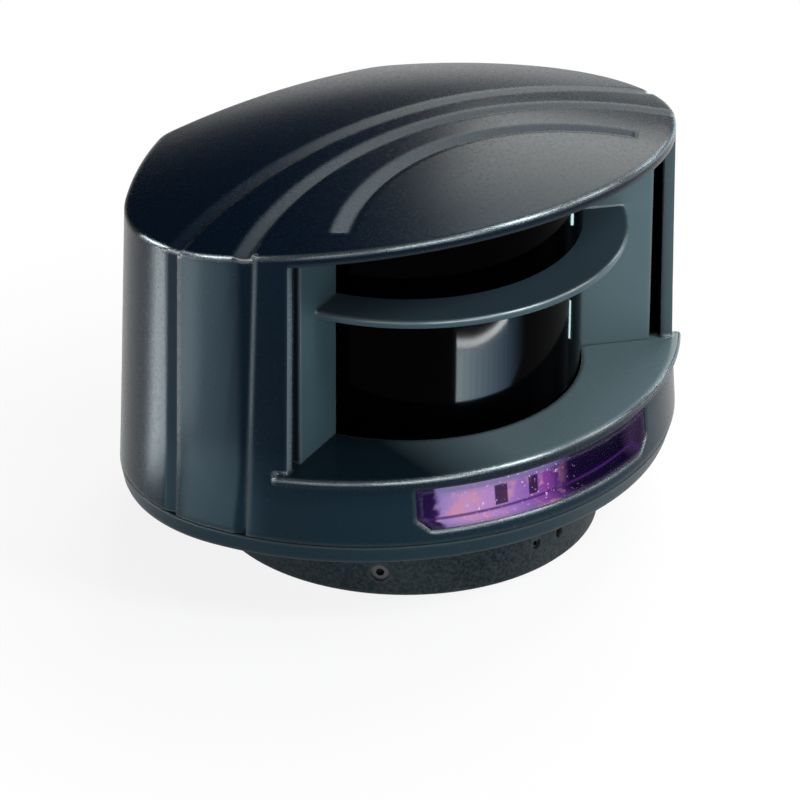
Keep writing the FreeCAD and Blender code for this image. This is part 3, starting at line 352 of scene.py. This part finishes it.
def tinted_window(name):
    """Violet see-through plastic of the indicator strip."""
    finish = Finish(name)
    waves = finish.noise(140.0, 2.0)
    cloud = finish.noise(420.0, 2.0)
    color = finish.mix(cloud, LENS_DARK, LENS_LIGHT)
    # Painted highlight: the strip's outer edges are painted a pale lilac grey and made less clear.
    rim = finish.outer_edges(EDGE_REACH) * 0.6
    color = finish.mix(rim, color, LENS_RIM_PAINTED_HIGHLIGHT)
    alpha = finish.level(waves, 0.2, 0.8, 0.08, 0.14) + rim
    rough = finish.level(cloud, 0.3, 0.7, 0.08, 0.16)
    normal = finish.bump(waves, 0.12, 0.0003)
    return finish.surface(Base_Color=color, Roughness=rough, Alpha=alpha, Normal=normal,
                          Specular_IOR_Level=0.04)


def rubber(name, tone):
    finish = Finish(name)
    fine = finish.noise(1900.0, 3.0)
    color = finish.mix(fine, [c * 0.6 for c in tone], [c * 1.5 for c in tone])
    return finish.surface(Base_Color=color, Roughness=finish.level(fine, 0.2, 0.8, 0.62, 0.85),
                          Normal=finish.bump(fine, 0.3, 0.0001))


def turned_metal(name, tone, roughness=0.28, along=(1.0, 1.0, 40.0)):
    """Metal with fine tool marks; the marks are drawn out across the given scale."""
    finish = Finish(name)
    marks = finish.noise(900.0, 4.0, 0.6, finish.stretched(*along))
    stain = finish.noise(120.0, 3.0)
    color = finish.mix(marks * 0.6 + stain * 0.4, [c * 0.7 for c in tone], tone)
    rough = finish.level(marks, 0.2, 0.8, roughness - 0.08, roughness + 0.12)
    return finish.surface(Base_Color=color, Roughness=rough, Metallic=1.0,
                          Normal=finish.bump(marks, 0.15, 0.00005))


def cast_metal(name, tone):
    finish = Finish(name)
    fine = finish.noise(1400.0, 4.0)
    blotch = finish.noise(90.0, 3.0)
    color = finish.mix(blotch, [c * 0.75 for c in tone], tone)
    return finish.surface(Base_Color=color, Metallic=1.0,
                          Roughness=finish.level(fine, 0.2, 0.8, 0.38, 0.6),
                          Normal=finish.bump(fine, 0.4, 0.0001))


def mirror_metal(name):
    finish = Finish(name)
    haze = finish.noise(150.0, 3.0)
    color = finish.mix(haze, MIRROR_DIM, MIRROR_BRIGHT)
    return finish.surface(Base_Color=color, Metallic=1.0,
                          Roughness=finish.level(haze, 0.3, 0.7, 0.02, 0.06))


def circuit_board(name, mask, copper):
    """Solder mask with faint tracks showing through."""
    finish = Finish(name)
    tracks = finish.node("ShaderNodeTexBrick", {"offset": 0.5}, {
        "Vector": finish.coords, "Scale": 380.0, "Mortar Size": 0.02,
        "Color1": mask, "Color2": [c * 1.15 for c in mask], "Mortar": copper})
    speck = finish.noise(2500.0, 2.0)
    color = finish.mix(finish.level(speck, 0.4, 0.7, 0.0, 0.25), tracks, [c * 0.6 for c in mask])
    return finish.surface(Base_Color=color, Roughness=finish.level(speck, 0.2, 0.8, 0.3, 0.5),
                          Normal=finish.bump(speck, 0.1, 0.00005))


def moulded(name, tone, roughness=0.45):
    """Small plain moulded piece such as a chip or a plug housing."""
    finish = Finish(name)
    fine = finish.noise(1600.0, 3.0)
    color = finish.mix(fine, [c * 0.75 for c in tone], [min(1.0, c * 1.2) for c in tone])
    return finish.surface(Base_Color=color,
                          Roughness=finish.level(fine, 0.2, 0.8, roughness - 0.1, roughness + 0.1),
                          Normal=finish.bump(fine, 0.2, 0.00005))


def clear_glass(name, tint):
    finish = Finish(name)
    haze = finish.noise(300.0, 2.0)
    color = finish.mix(haze, [c * 0.9 for c in tint], tint)
    return finish.surface(Base_Color=color, Alpha=finish.level(haze, 0.2, 0.8, 0.3, 0.4),
                          Roughness=finish.level(haze, 0.2, 0.8, 0.02, 0.06), Coat_Weight=0.5)


def wound_core(name):
    """Copper windings round a dark core: fine rings up the height."""
    finish = Finish(name)
    turns = finish.node("ShaderNodeTexWave", {"wave_type": "BANDS", "bands_direction": "Z"},
                        {"Vector": finish.coords, "Scale": 700.0, "Distortion": 0.5})
    color = finish.mix(turns, COPPER_DARK, COPPER_LIGHT)
    return finish.surface(Base_Color=color, Roughness=finish.level(turns, 0.0, 1.0, 0.35, 0.25),
                          Metallic=1.0, Normal=finish.bump(turns, 0.5, 0.0002))


def encoder_film(name):
    """Dark radial marks on a pale disc, read by the light fork."""
    finish = Finish(name)
    x, y = finish.axis(0), finish.axis(1)
    angle = finish.node("ShaderNodeMath", {"operation": "ARCTAN2"}, {0: y, 1: x})
    wave = finish.node("ShaderNodeMath", {"operation": "SINE"}, {0: angle * ENCODER_MARKS})
    color = finish.mix(wave.over(0.0), MARK_DARK, MARK_PALE)
    return finish.surface(Base_Color=color, Roughness=finish.level(wave, -1.0, 1.0, 0.15, 0.25))


# The hood, with its skirt, its sill and the sides of its opening; after its own two tones come painted
# light and shade.
HOOD_DARK = (0.0005, 0.0030, 0.0092)
HOOD_LIGHT = (0.0018, 0.0072, 0.0165)
SKIRT_PAINTED_LIGHT = (0.0082, 0.0195, 0.0290)
SHELF_PAINTED_SHADE = (0.004, 0.009, 0.014)
SHELF_PAINTED_LIGHT = (0.084, 0.124, 0.136)
RETURN_PAINTED_LIGHT = (0.075, 0.110, 0.125)
RETURN_PAINTED_SHADE = (0.054, 0.081, 0.089)
# The cheeks and the baffle: their own two tones, then painted light and painted shade.
SLATE_DARK = (0.028, 0.055, 0.068)
SLATE_LIGHT = (0.045, 0.078, 0.092)
SLATE_PAINTED_LIGHT = (0.082, 0.124, 0.138)
BAFFLE_PAINTED_SHADE = (0.023, 0.038, 0.049)
# The base housing, the bracket and its turning seat.
BASE_DARK = (0.005, 0.016, 0.024)
BASE_LIGHT = (0.015, 0.034, 0.044)
BRACKET_DARK = (0.003, 0.006, 0.008)
BRACKET_LIGHT = (0.050, 0.060, 0.062)
SEAT_DARK = (0.012, 0.013, 0.014)
SEAT_LIGHT = (0.03, 0.03, 0.032)
# Painted highlights along outer edges and on rounded crests, and the tint of a moulded surface's sheen.
EDGE_PAINTED_HIGHLIGHT = (0.10, 0.125, 0.135)
CREST_PAINTED_HIGHLIGHT = (0.14, 0.166, 0.176)
SHEEN_TINT = (0.42, 0.75, 0.93)
# The black scanning windows and the violet indicator window, with the painted highlight on its rim.
WINDOW_DARK = (0.00004, 0.00004, 0.00006)
WINDOW_LIGHT = (0.00010, 0.00010, 0.00014)
LENS_DARK = (0.006, 0.002, 0.02)
LENS_LIGHT = (0.015, 0.006, 0.04)
LENS_RIM_PAINTED_HIGHLIGHT = (0.24, 0.20, 0.30)
# The mirror, the motor's windings and the encoder disc with its number of marks.
MIRROR_DIM = (0.78, 0.79, 0.81)
MIRROR_BRIGHT = (0.86, 0.87, 0.88)
COPPER_DARK = (0.20, 0.07, 0.025)
COPPER_LIGHT = (0.62, 0.28, 0.12)
MARK_DARK = (0.02, 0.02, 0.025)
MARK_PALE = (0.42, 0.43, 0.45)
ENCODER_MARKS = 72.0

FINISHES = {
    "hood_plastic": grained_plastic("hood_plastic", HOOD_DARK, HOOD_LIGHT, 0.25, 0.3, edge=0.12,
                                    crest=hood_rim, tint=sill_painted_light_and_shade, dull=side_groove, turn=HOOD_ROUND),
    "base_plastic": grained_plastic("base_plastic", BASE_DARK, BASE_LIGHT, 0.36, edge=0.2),
    "bracket_plastic": grained_plastic("bracket_plastic", BRACKET_DARK, BRACKET_LIGHT, 0.5, grain=2.0,
                                       grain_scale=1300.0, edge=0.15),
    "seat_plastic": grained_plastic("seat_plastic", SEAT_DARK, SEAT_LIGHT, 0.5, edge=0.1),
    "bezel_plastic": grained_plastic("bezel_plastic", SLATE_DARK, SLATE_LIGHT, 0.34, 0.8, edge=0.6,
                                     crest=all_crests, tint=recess_painted_light_and_shade),
    "window_plastic": gloss_window("window_plastic"),
    "lens_plastic": tinted_window("lens_plastic"),
    "gasket_rubber": rubber("gasket_rubber", (0.012, 0.012, 0.012)),
    "inlet_rubber": rubber("inlet_rubber", (0.014, 0.014, 0.015)),
    "screw_steel": turned_metal("screw_steel", (0.52, 0.52, 0.53)),
    "black_steel": turned_metal("black_steel", (0.09, 0.09, 0.095), 0.35),
    "shaft_steel": turned_metal("shaft_steel", (0.62, 0.62, 0.63), 0.2),
    "frame_metal": cast_metal("frame_metal", (0.55, 0.55, 0.57)),
    "mirror_face": mirror_metal("mirror_face"),
    "rotor_metal": turned_metal("rotor_metal", (0.45, 0.45, 0.47), 0.3),
    "encoder_glass": encoder_film("encoder_glass"),
    "motor_core": wound_core("motor_core"),
    "circuit_board": circuit_board("circuit_board", (0.012, 0.09, 0.04), (0.03, 0.16, 0.07)),
    "chip_plastic": moulded("chip_plastic", (0.012, 0.012, 0.013)),
    "connector_plastic": moulded("connector_plastic", (0.62, 0.60, 0.53)),
    "light_plastic": moulded("light_plastic", (0.75, 0.70, 0.80), 0.25),
    "optic_glass": clear_glass("optic_glass", (0.70, 0.78, 0.85)),
    "laser_metal": turned_metal("laser_metal", (0.62, 0.46, 0.20), 0.25),
}


def dress(thing, material):
    thing.data.materials.clear()
    thing.data.materials.append(material)


slot_of = {entry["node"]: entry["material_slot"] for entry in frame["record"]["subparts"]}
for node_name, thing in NODES.items():
    dress(thing, FINISHES[slot_of[node_name]])


def wall_y(x, z):
    """Depth of the hood's front wall at a place, all in millimetres."""
    rise = (z - WALL_LOW_Z) / (WALL_HIGH_Z - WALL_LOW_Z)
    radius = WALL_RADIUS[0] + (WALL_RADIUS[1] - WALL_RADIUS[0]) * rise
    front = WALL_FRONT[0] + (WALL_FRONT[1] - WALL_FRONT[0]) * rise
    return radius - front - math.sqrt(radius ** 2 - x ** 2)


def mesh_piece(name, mesh, body, slot, *replaced):
    """Object of a mesh that rides on a body and hides the nodes it replaces; the material slot argument
    is not used.
    """
    thing = bpy.data.objects.new(name, mesh)
    bpy.context.scene.collection.objects.link(thing)
    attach(thing, body)
    if replaced:
        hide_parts(*replaced)
    return thing


# The indicator strip in millimetres: its outline with slanted lower ends, and how far it reaches back.
LENS_HALF_WIDTH = 29.5
LENS_LOW = 22.4
LENS_HIGH = 31.2
LENS_CHAMFER = 2.6
LENS_STATIONS = 60
LENS_BACK = 3.4
# Rings of the strip's edge: distance in from the outline, and how far it stands off the wall.
LENS_RINGS = ((0.0, -LENS_BACK), (0.0, -0.25), (0.12, 0.02), (0.45, 0.16), (0.85, 0.10),
              (1.10, -0.12), (1.30, -0.55), (1.55, -0.70))
# Colours behind the strip from its left end to its right one, a painted glow though no lamp is there:
# first the lit half of the board, then the dark half in painted shade.
STRIP_PAINTED_GLOW = [(0.00, (0.010, 0.004, 0.030)), (0.085, (0.014, 0.006, 0.045)), (0.10, (0.30, 0.20, 0.48)),
              (0.20, (0.48, 0.26, 0.50)), (0.30, (0.40, 0.22, 0.52)), (0.40, (0.26, 0.13, 0.42)),
              (0.50, (0.20, 0.05, 0.28)), (0.56, (0.06, 0.018, 0.13)), (0.62, (0.004, 0.0015, 0.018)),
              (0.90, (0.002, 0.001, 0.010)), (0.96, (0.030, 0.018, 0.045))]
# Warm patches of the glow, its painted reflection, the dark line, the dark receivers and the painted
# glints.
STRIP_WARM = (0.58, 0.26, 0.36)
STRIP_PAINTED_REFLECTION = (0.20, 0.20, 0.42)
STRIP_LINE = (0.05, 0.012, 0.11)
STRIP_CHIP = (0.018, 0.007, 0.028)
STRIP_PAINTED_GLINT = (0.85, 0.62, 0.95)
# How strongly the painted glow shines, though no lamp is there, and how much darker the board's own
# surface is.
STRIP_PAINTED_GLOW_STRENGTH = 0.85
STRIP_SHADE = 0.7
# Heights where the cool upper band of painted reflection starts and where the dark line runs, then each
# receiver's left, right, low and high, all in millimetres.
STRIP_REFLECTION_Z = (27.4, 28.6)
STRIP_LINE_Z = (22.7, 23.3)
STRIP_CHIPS = ((-11.8, -8.9, 23.6, 27.9), (-3.8, -1.6, 23.8, 27.8))


def strip_painted_glow_finish():
    """What shows through the violet window: a board with a painted lilac glow, painted shade on its
    right, a painted reflection and glints, and two dark receivers.
    """
    finish = Finish("strip_painted_glow")
    x = finish.axis(0) * (1.0 / MM)
    z = finish.axis(2) * (1.0 / MM)
    patch = finish.noise(330.0, 2.0)
    speck = finish.noise(1500.0, 2.0)
    along = finish.level(x, -LENS_HALF_WIDTH, LENS_HALF_WIDTH) + (patch - 0.5) * 0.05
    # Painted glow on the left half, painted shade on the right half.
    color = finish.ramp(along, STRIP_PAINTED_GLOW)
    lit = finish.level(along, 0.50, 0.62, 1.0, 0.0) * finish.level(along, 0.085, 0.10)
    warm = finish.level(patch, 0.52, 0.66) * lit
    color = finish.mix(warm * 0.7, color, STRIP_WARM)
    # Painted reflection: a cool band along the top of the lit half.
    cool = finish.level(z, *STRIP_REFLECTION_Z) * lit
    color = finish.mix(cool * 0.75, color, STRIP_PAINTED_REFLECTION)
    line = finish.between(z, *STRIP_LINE_Z, 0.15)
    color = finish.mix(line * 0.8, color, STRIP_LINE)
    for left, right, low, high in STRIP_CHIPS:
        chip = finish.between(x, left, right, 0.12) * finish.between(z, low, high, 0.12)
        color = finish.mix(chip * 0.9, color, STRIP_CHIP)
    # Painted glints: light specks in the lit part of the board.
    sparkling = finish.level(along, 0.66, 0.58) * finish.level(along, 0.10, 0.2)
    painted_glint = finish.level(speck, 0.66, 0.72) * sparkling
    color = finish.mix(painted_glint * 0.8, color, STRIP_PAINTED_GLINT)
    shaded = finish.mix(STRIP_SHADE, color, (0.0, 0.0, 0.0))
    rough = finish.level(speck, 0.2, 0.8, 0.35, 0.6)
    # The painted colours glow on their own, though no lamp is there.
    return finish.surface(Base_Color=shaded, Roughness=rough, Emission_Color=color,
                          Emission_Strength=STRIP_PAINTED_GLOW_STRENGTH, Specular_IOR_Level=0.01)


def lens_ring(inset, proud):
    """Closed loop of points: along the bottom edge with its slanted ends, back along the top."""
    half = LENS_HALF_WIDTH - inset
    slant = LENS_CHAMFER - inset * (2.0 - math.sqrt(2.0))
    low = LENS_LOW + inset
    high = LENS_HIGH - inset
    stations = [-half + 2.0 * half * i / LENS_STATIONS for i in range(LENS_STATIONS + 1)]
    stations = sorted(stations + [-half + slant, half - slant])
    bottom = [(x, low + max(0.0, slant - (half - abs(x)))) for x in stations]
    top = [(x, high) for x in reversed(stations)]
    return [Vector((x, wall_y(x, z) - proud, z)) * MM for x, z in bottom + top]


def indicator_window():
    """Violet window with a rounded rim standing just proud of the wall, and a sunk middle."""
    mesh = bpy.data.meshes.new("indicator_window")
    shape = bmesh.new()
    rings = [[shape.verts.new(point) for point in lens_ring(*ring)] for ring in LENS_RINGS]
    count = len(rings[0])
    for outer, inner in zip(rings, rings[1:]):
        for i in range(count):
            j = (i + 1) % count
            shape.faces.new((outer[i], outer[j], inner[j], inner[i]))
    for ring in (rings[0], rings[-1]):
        for i in range(count // 2 - 1):
            shape.faces.new((ring[i], ring[i + 1], ring[count - 2 - i], ring[count - 1 - i]))
    bmesh.ops.recalc_face_normals(shape, faces=shape.faces)
    shape.faces.index_update()
    rear = set(rings[0])
    backing = {face.index for face in shape.faces if rear.intersection(face.verts)}
    shape.to_mesh(mesh)
    shape.free()
    mesh.materials.append(FINISHES["lens_plastic"])
    mesh.materials.append(strip_painted_glow_finish())
    for polygon in mesh.polygons:
        polygon.use_smooth = True
        polygon.material_index = int(polygon.index in backing)
    return mesh_piece("indicator_window", mesh, "head", "lens_plastic", "indicator_lens")


indicator_window()


# Half the width of the floor, its paint, and the faint light of the surroundings.
FLOOR_REACH = 40.0
FLOOR_DARK = (0.78, 0.78, 0.78)
FLOOR_LIGHT = (0.8, 0.8, 0.8)
WORLD_TONE = (0.02, 0.026, 0.034)
# Share of plain white in the floor up to the near distance; it grows to all of it at the far one.
FLOOR_GLOW = 0.86
FLOOR_NEAR = 0.06
FLOOR_FAR = 0.15
# Tints of the lamps, from warm to cool.
SUN_WHITE = (1.0, 0.985, 0.92)
WARM_WHITE = (1.0, 0.99, 0.95)
IVORY = (1.0, 1.0, 0.98)
PLAIN_WHITE = (1.0, 1.0, 1.0)
SOFT_WHITE = (0.98, 0.99, 1.0)
COOL_WHITE = (0.97, 0.99, 1.0)
ARC_WHITE = (0.95, 0.99, 1.0)
SKY_WHITE = (0.95, 0.98, 1.0)
AQUA = (0.66, 0.96, 1.0)
# Softboxes and cards: centre, the point they face, width, height, radiance and tint.
LAMPS = {
    "key_front": ((0.32, -0.54, 0.68), (0, -0.05, 0.07), 0.26, 0.42, 15.0, COOL_WHITE),
    "softbox_right_front": ((0.60, -0.30, 0.50), (0, -0.02, 0.05), 0.24, 0.26, 7.0, SOFT_WHITE),
    "softbox_above_right": ((0.53, 0.33, 0.86), (0, 0, 0.08), 0.50, 0.30, 8.5, WARM_WHITE),
    "panel_right": ((0.74, 0.50, 0.52), (0, 0, 0.08), 0.62, 0.48, 4.8, SUN_WHITE),
    "panel_far_right": ((0.76, 0.04, 0.33), (0, 0, 0.06), 0.12, 0.24, 7.0, COOL_WHITE),
    "fill_front": ((-0.18, -0.74, 0.30), (0, 0, 0.05), 0.45, 0.30, 6.5, SKY_WHITE),
    "fill_left_front": ((-0.55, -0.50, 0.26), (0, 0, 0.05), 0.30, 0.30, 2.2, SKY_WHITE),
}
# Softboxes and cards that only show as highlights on the left rim and walls.
HIGHLIGHT_CARDS = {
    "softbox_above_left": ((-0.53, 0.26, 0.58), (0, 0, 0.08), 0.24, 0.30, 12.0, PLAIN_WHITE),
    "softbox_back_left": ((-0.36, 0.70, 0.40), (0, 0, 0.08), 0.24, 0.24, 14.0, PLAIN_WHITE),
    "card_left_back": ((-0.101, 0.043, 0.030), (-0.062, -0.001, 0.040), 0.020, 0.058, 15.5, IVORY),
    "card_left_side": ((-0.128, 0.022, 0.032), (-0.060, -0.008, 0.040), 0.024, 0.062, 12.0, IVORY),
    "card_left_front": ((-0.128, -0.009, 0.032), (-0.059, -0.013, 0.040), 0.038, 0.062, 6.0, IVORY),
    "card_left_low": ((-0.087, -0.0133, 0.013), (-0.060, -0.0133, 0.025), 0.034, 0.018, 5.0, IVORY),
}
# Cards that only the polished windows mirror: an arc, two edges, and strips that fade to the right.
WINDOW_CARDS = {
    "card_arc": ((0.009, -0.091, 0.0255), (0.009, -0.036, 0.0255), 0.050, 0.002, 380.0, ARC_WHITE),
    "card_edge_low": ((0.038, -0.028, 0.040), (0.019, -0.031, 0.040), 0.0013, 0.009, 26.0, AQUA),
    "card_edge_high": ((0.0275, -0.0298, 0.069), (0.019, -0.031, 0.069), 0.0013, 0.003, 26.0, AQUA),
}
# The fading strips: number, left end and width, depth of the strips and of the window they face, height
# of their middle, their own height, and the radiance and tints between which they fade.
FADE_STRIPS = 14
FADE_LEFT = -0.016
FADE_STEP = 0.0055
FADE_DEPTH = -0.090
FADE_AIM_DEPTH = -0.036
FADE_MIDDLE = 0.016
FADE_HEIGHT = 0.017
FADE_RADIANCE = 185.0
FADE_POWER = 1.8
FADE_DIM = (0.38, 0.66, 1.0)
FADE_BRIGHT = (0.74, 0.93, 1.0)
for strip in range(FADE_STRIPS):
    fade = (1.0 - strip / FADE_STRIPS) ** FADE_POWER
    strip_x = FADE_LEFT + FADE_STEP * (strip + 0.5)
    strip_tint = [dim + (bright - dim) * fade for dim, bright in zip(FADE_DIM, FADE_BRIGHT)]
    WINDOW_CARDS["card_fade_%d" % strip] = (
        (strip_x, FADE_DEPTH, FADE_MIDDLE), (strip_x, FADE_AIM_DEPTH, FADE_MIDDLE),
        FADE_STEP, FADE_HEIGHT, FADE_RADIANCE * fade, strip_tint)


def light_panel(name, place, aim, width, height, radiance, tint):
    """Flat lamp of a given brightness; its power follows from its area."""
    lamp = bpy.data.lights.new(name, "AREA")
    lamp.shape = "RECTANGLE"
    lamp.size = width
    lamp.size_y = height
    lamp.energy = radiance * math.pi * width * height
    lamp.color = tint
    thing = bpy.data.objects.new(name, lamp)
    bpy.context.scene.collection.objects.link(thing)
    thing.location = place
    thing.rotation_euler = (Vector(aim) - Vector(place)).to_track_quat("-Z", "Y").to_euler()
    thing.visible_camera = False
    return thing


def white_floor():
    """Floor that keeps the shadow near the object and is plain white farther out."""
    mesh = bpy.data.meshes.new("floor")
    corners = [(x * FLOOR_REACH, y * FLOOR_REACH, 0) for x, y in ((-1, -1), (1, -1), (1, 1), (-1, 1))]
    mesh.from_pydata(corners, [], [(0, 1, 2, 3)])
    floor = bpy.data.objects.new("floor", mesh)
    bpy.context.scene.collection.objects.link(floor)
    finish = Finish("floor_white")
    drift = finish.noise(3.0, 2.0)
    paint = finish.node("ShaderNodeBsdfDiffuse", None,
                        {"Color": finish.mix(drift, FLOOR_DARK, FLOOR_LIGHT)})
    rays = ["Is Camera Ray", "Is Glossy Ray", "Is Transmission Ray"]
    camera, glossy, through = [finish.node("ShaderNodeLightPath", output=ray) for ray in rays]
    seen = camera + glossy + through
    glow = finish.node("ShaderNodeEmission", None, {"Color": PLAIN_WHITE, "Strength": 1.0})
    x, y = finish.axis(0), finish.axis(1)
    share = finish.level(x * x + y * y, FLOOR_NEAR ** 2, FLOOR_FAR ** 2, FLOOR_GLOW, 1.0)
    both = finish.node("ShaderNodeMixShader", None, {0: seen * share, 1: paint, 2: glow})
    finish.node("ShaderNodeOutputMaterial", None, {"Surface": both})
    mesh.materials.append(finish.material)


def dim_world():
    world = bpy.data.worlds.new("studio")
    bpy.context.scene.world = world
    world.use_nodes = True
    surroundings = world.node_tree.nodes["Background"]
    surroundings.inputs["Color"].default_value = (*WORLD_TONE, 1.0)
    surroundings.inputs["Strength"].default_value = 1.0


def hang_lamps():
    """All softboxes and cards, the last of them seen by the two windows alone."""
    for name, values in LAMPS.items():
        light_panel(name, *values)
    for name, values in HIGHLIGHT_CARDS.items():
        light_panel(name, *values).visible_diffuse = False
    windows = bpy.data.collections.new("windows")
    for node_name in ("lower_window", "upper_window"):
        windows.objects.link(NODES[node_name])
    for name, values in WINDOW_CARDS.items():
        light_panel(name, *values).light_linking.receiver_collection = windows


def photo_camera():
    """Camera that stands and turns as the photograph's did."""
    back = Vector((math.sin(CAMERA_AZIMUTH) * math.cos(CAMERA_ELEVATION),
                   -math.cos(CAMERA_AZIMUTH) * math.cos(CAMERA_ELEVATION),
                   math.sin(CAMERA_ELEVATION)))
    right = Vector((math.cos(CAMERA_AZIMUTH), math.sin(CAMERA_AZIMUTH), 0))
    up = back.cross(right)
    cosine, sine = math.cos(CAMERA_ROLL), math.sin(CAMERA_ROLL)
    right, up = right * cosine + up * sine, up * cosine - right * sine
    place = CAMERA_AIM + back * CAMERA_DISTANCE
    place += right * CAMERA_OFFSET_RIGHT + up * CAMERA_OFFSET_UP
    lens = bpy.data.cameras.new("photo_camera")
    lens.lens = CAMERA_LENS
    lens.sensor_width = SENSOR_WIDTH
    lens.clip_start = 0.01
    lens.clip_end = 50.0
    camera = bpy.data.objects.new("photo_camera", lens)
    bpy.context.scene.collection.objects.link(camera)
    turn = Matrix((right, up, back)).transposed().to_4x4()
    camera.matrix_world = Matrix.Translation(place) @ turn
    bpy.context.scene.camera = camera


white_floor()
dim_world()
hang_lamps()
photo_camera()
bpy.context.scene.view_settings.view_transform = "Standard"
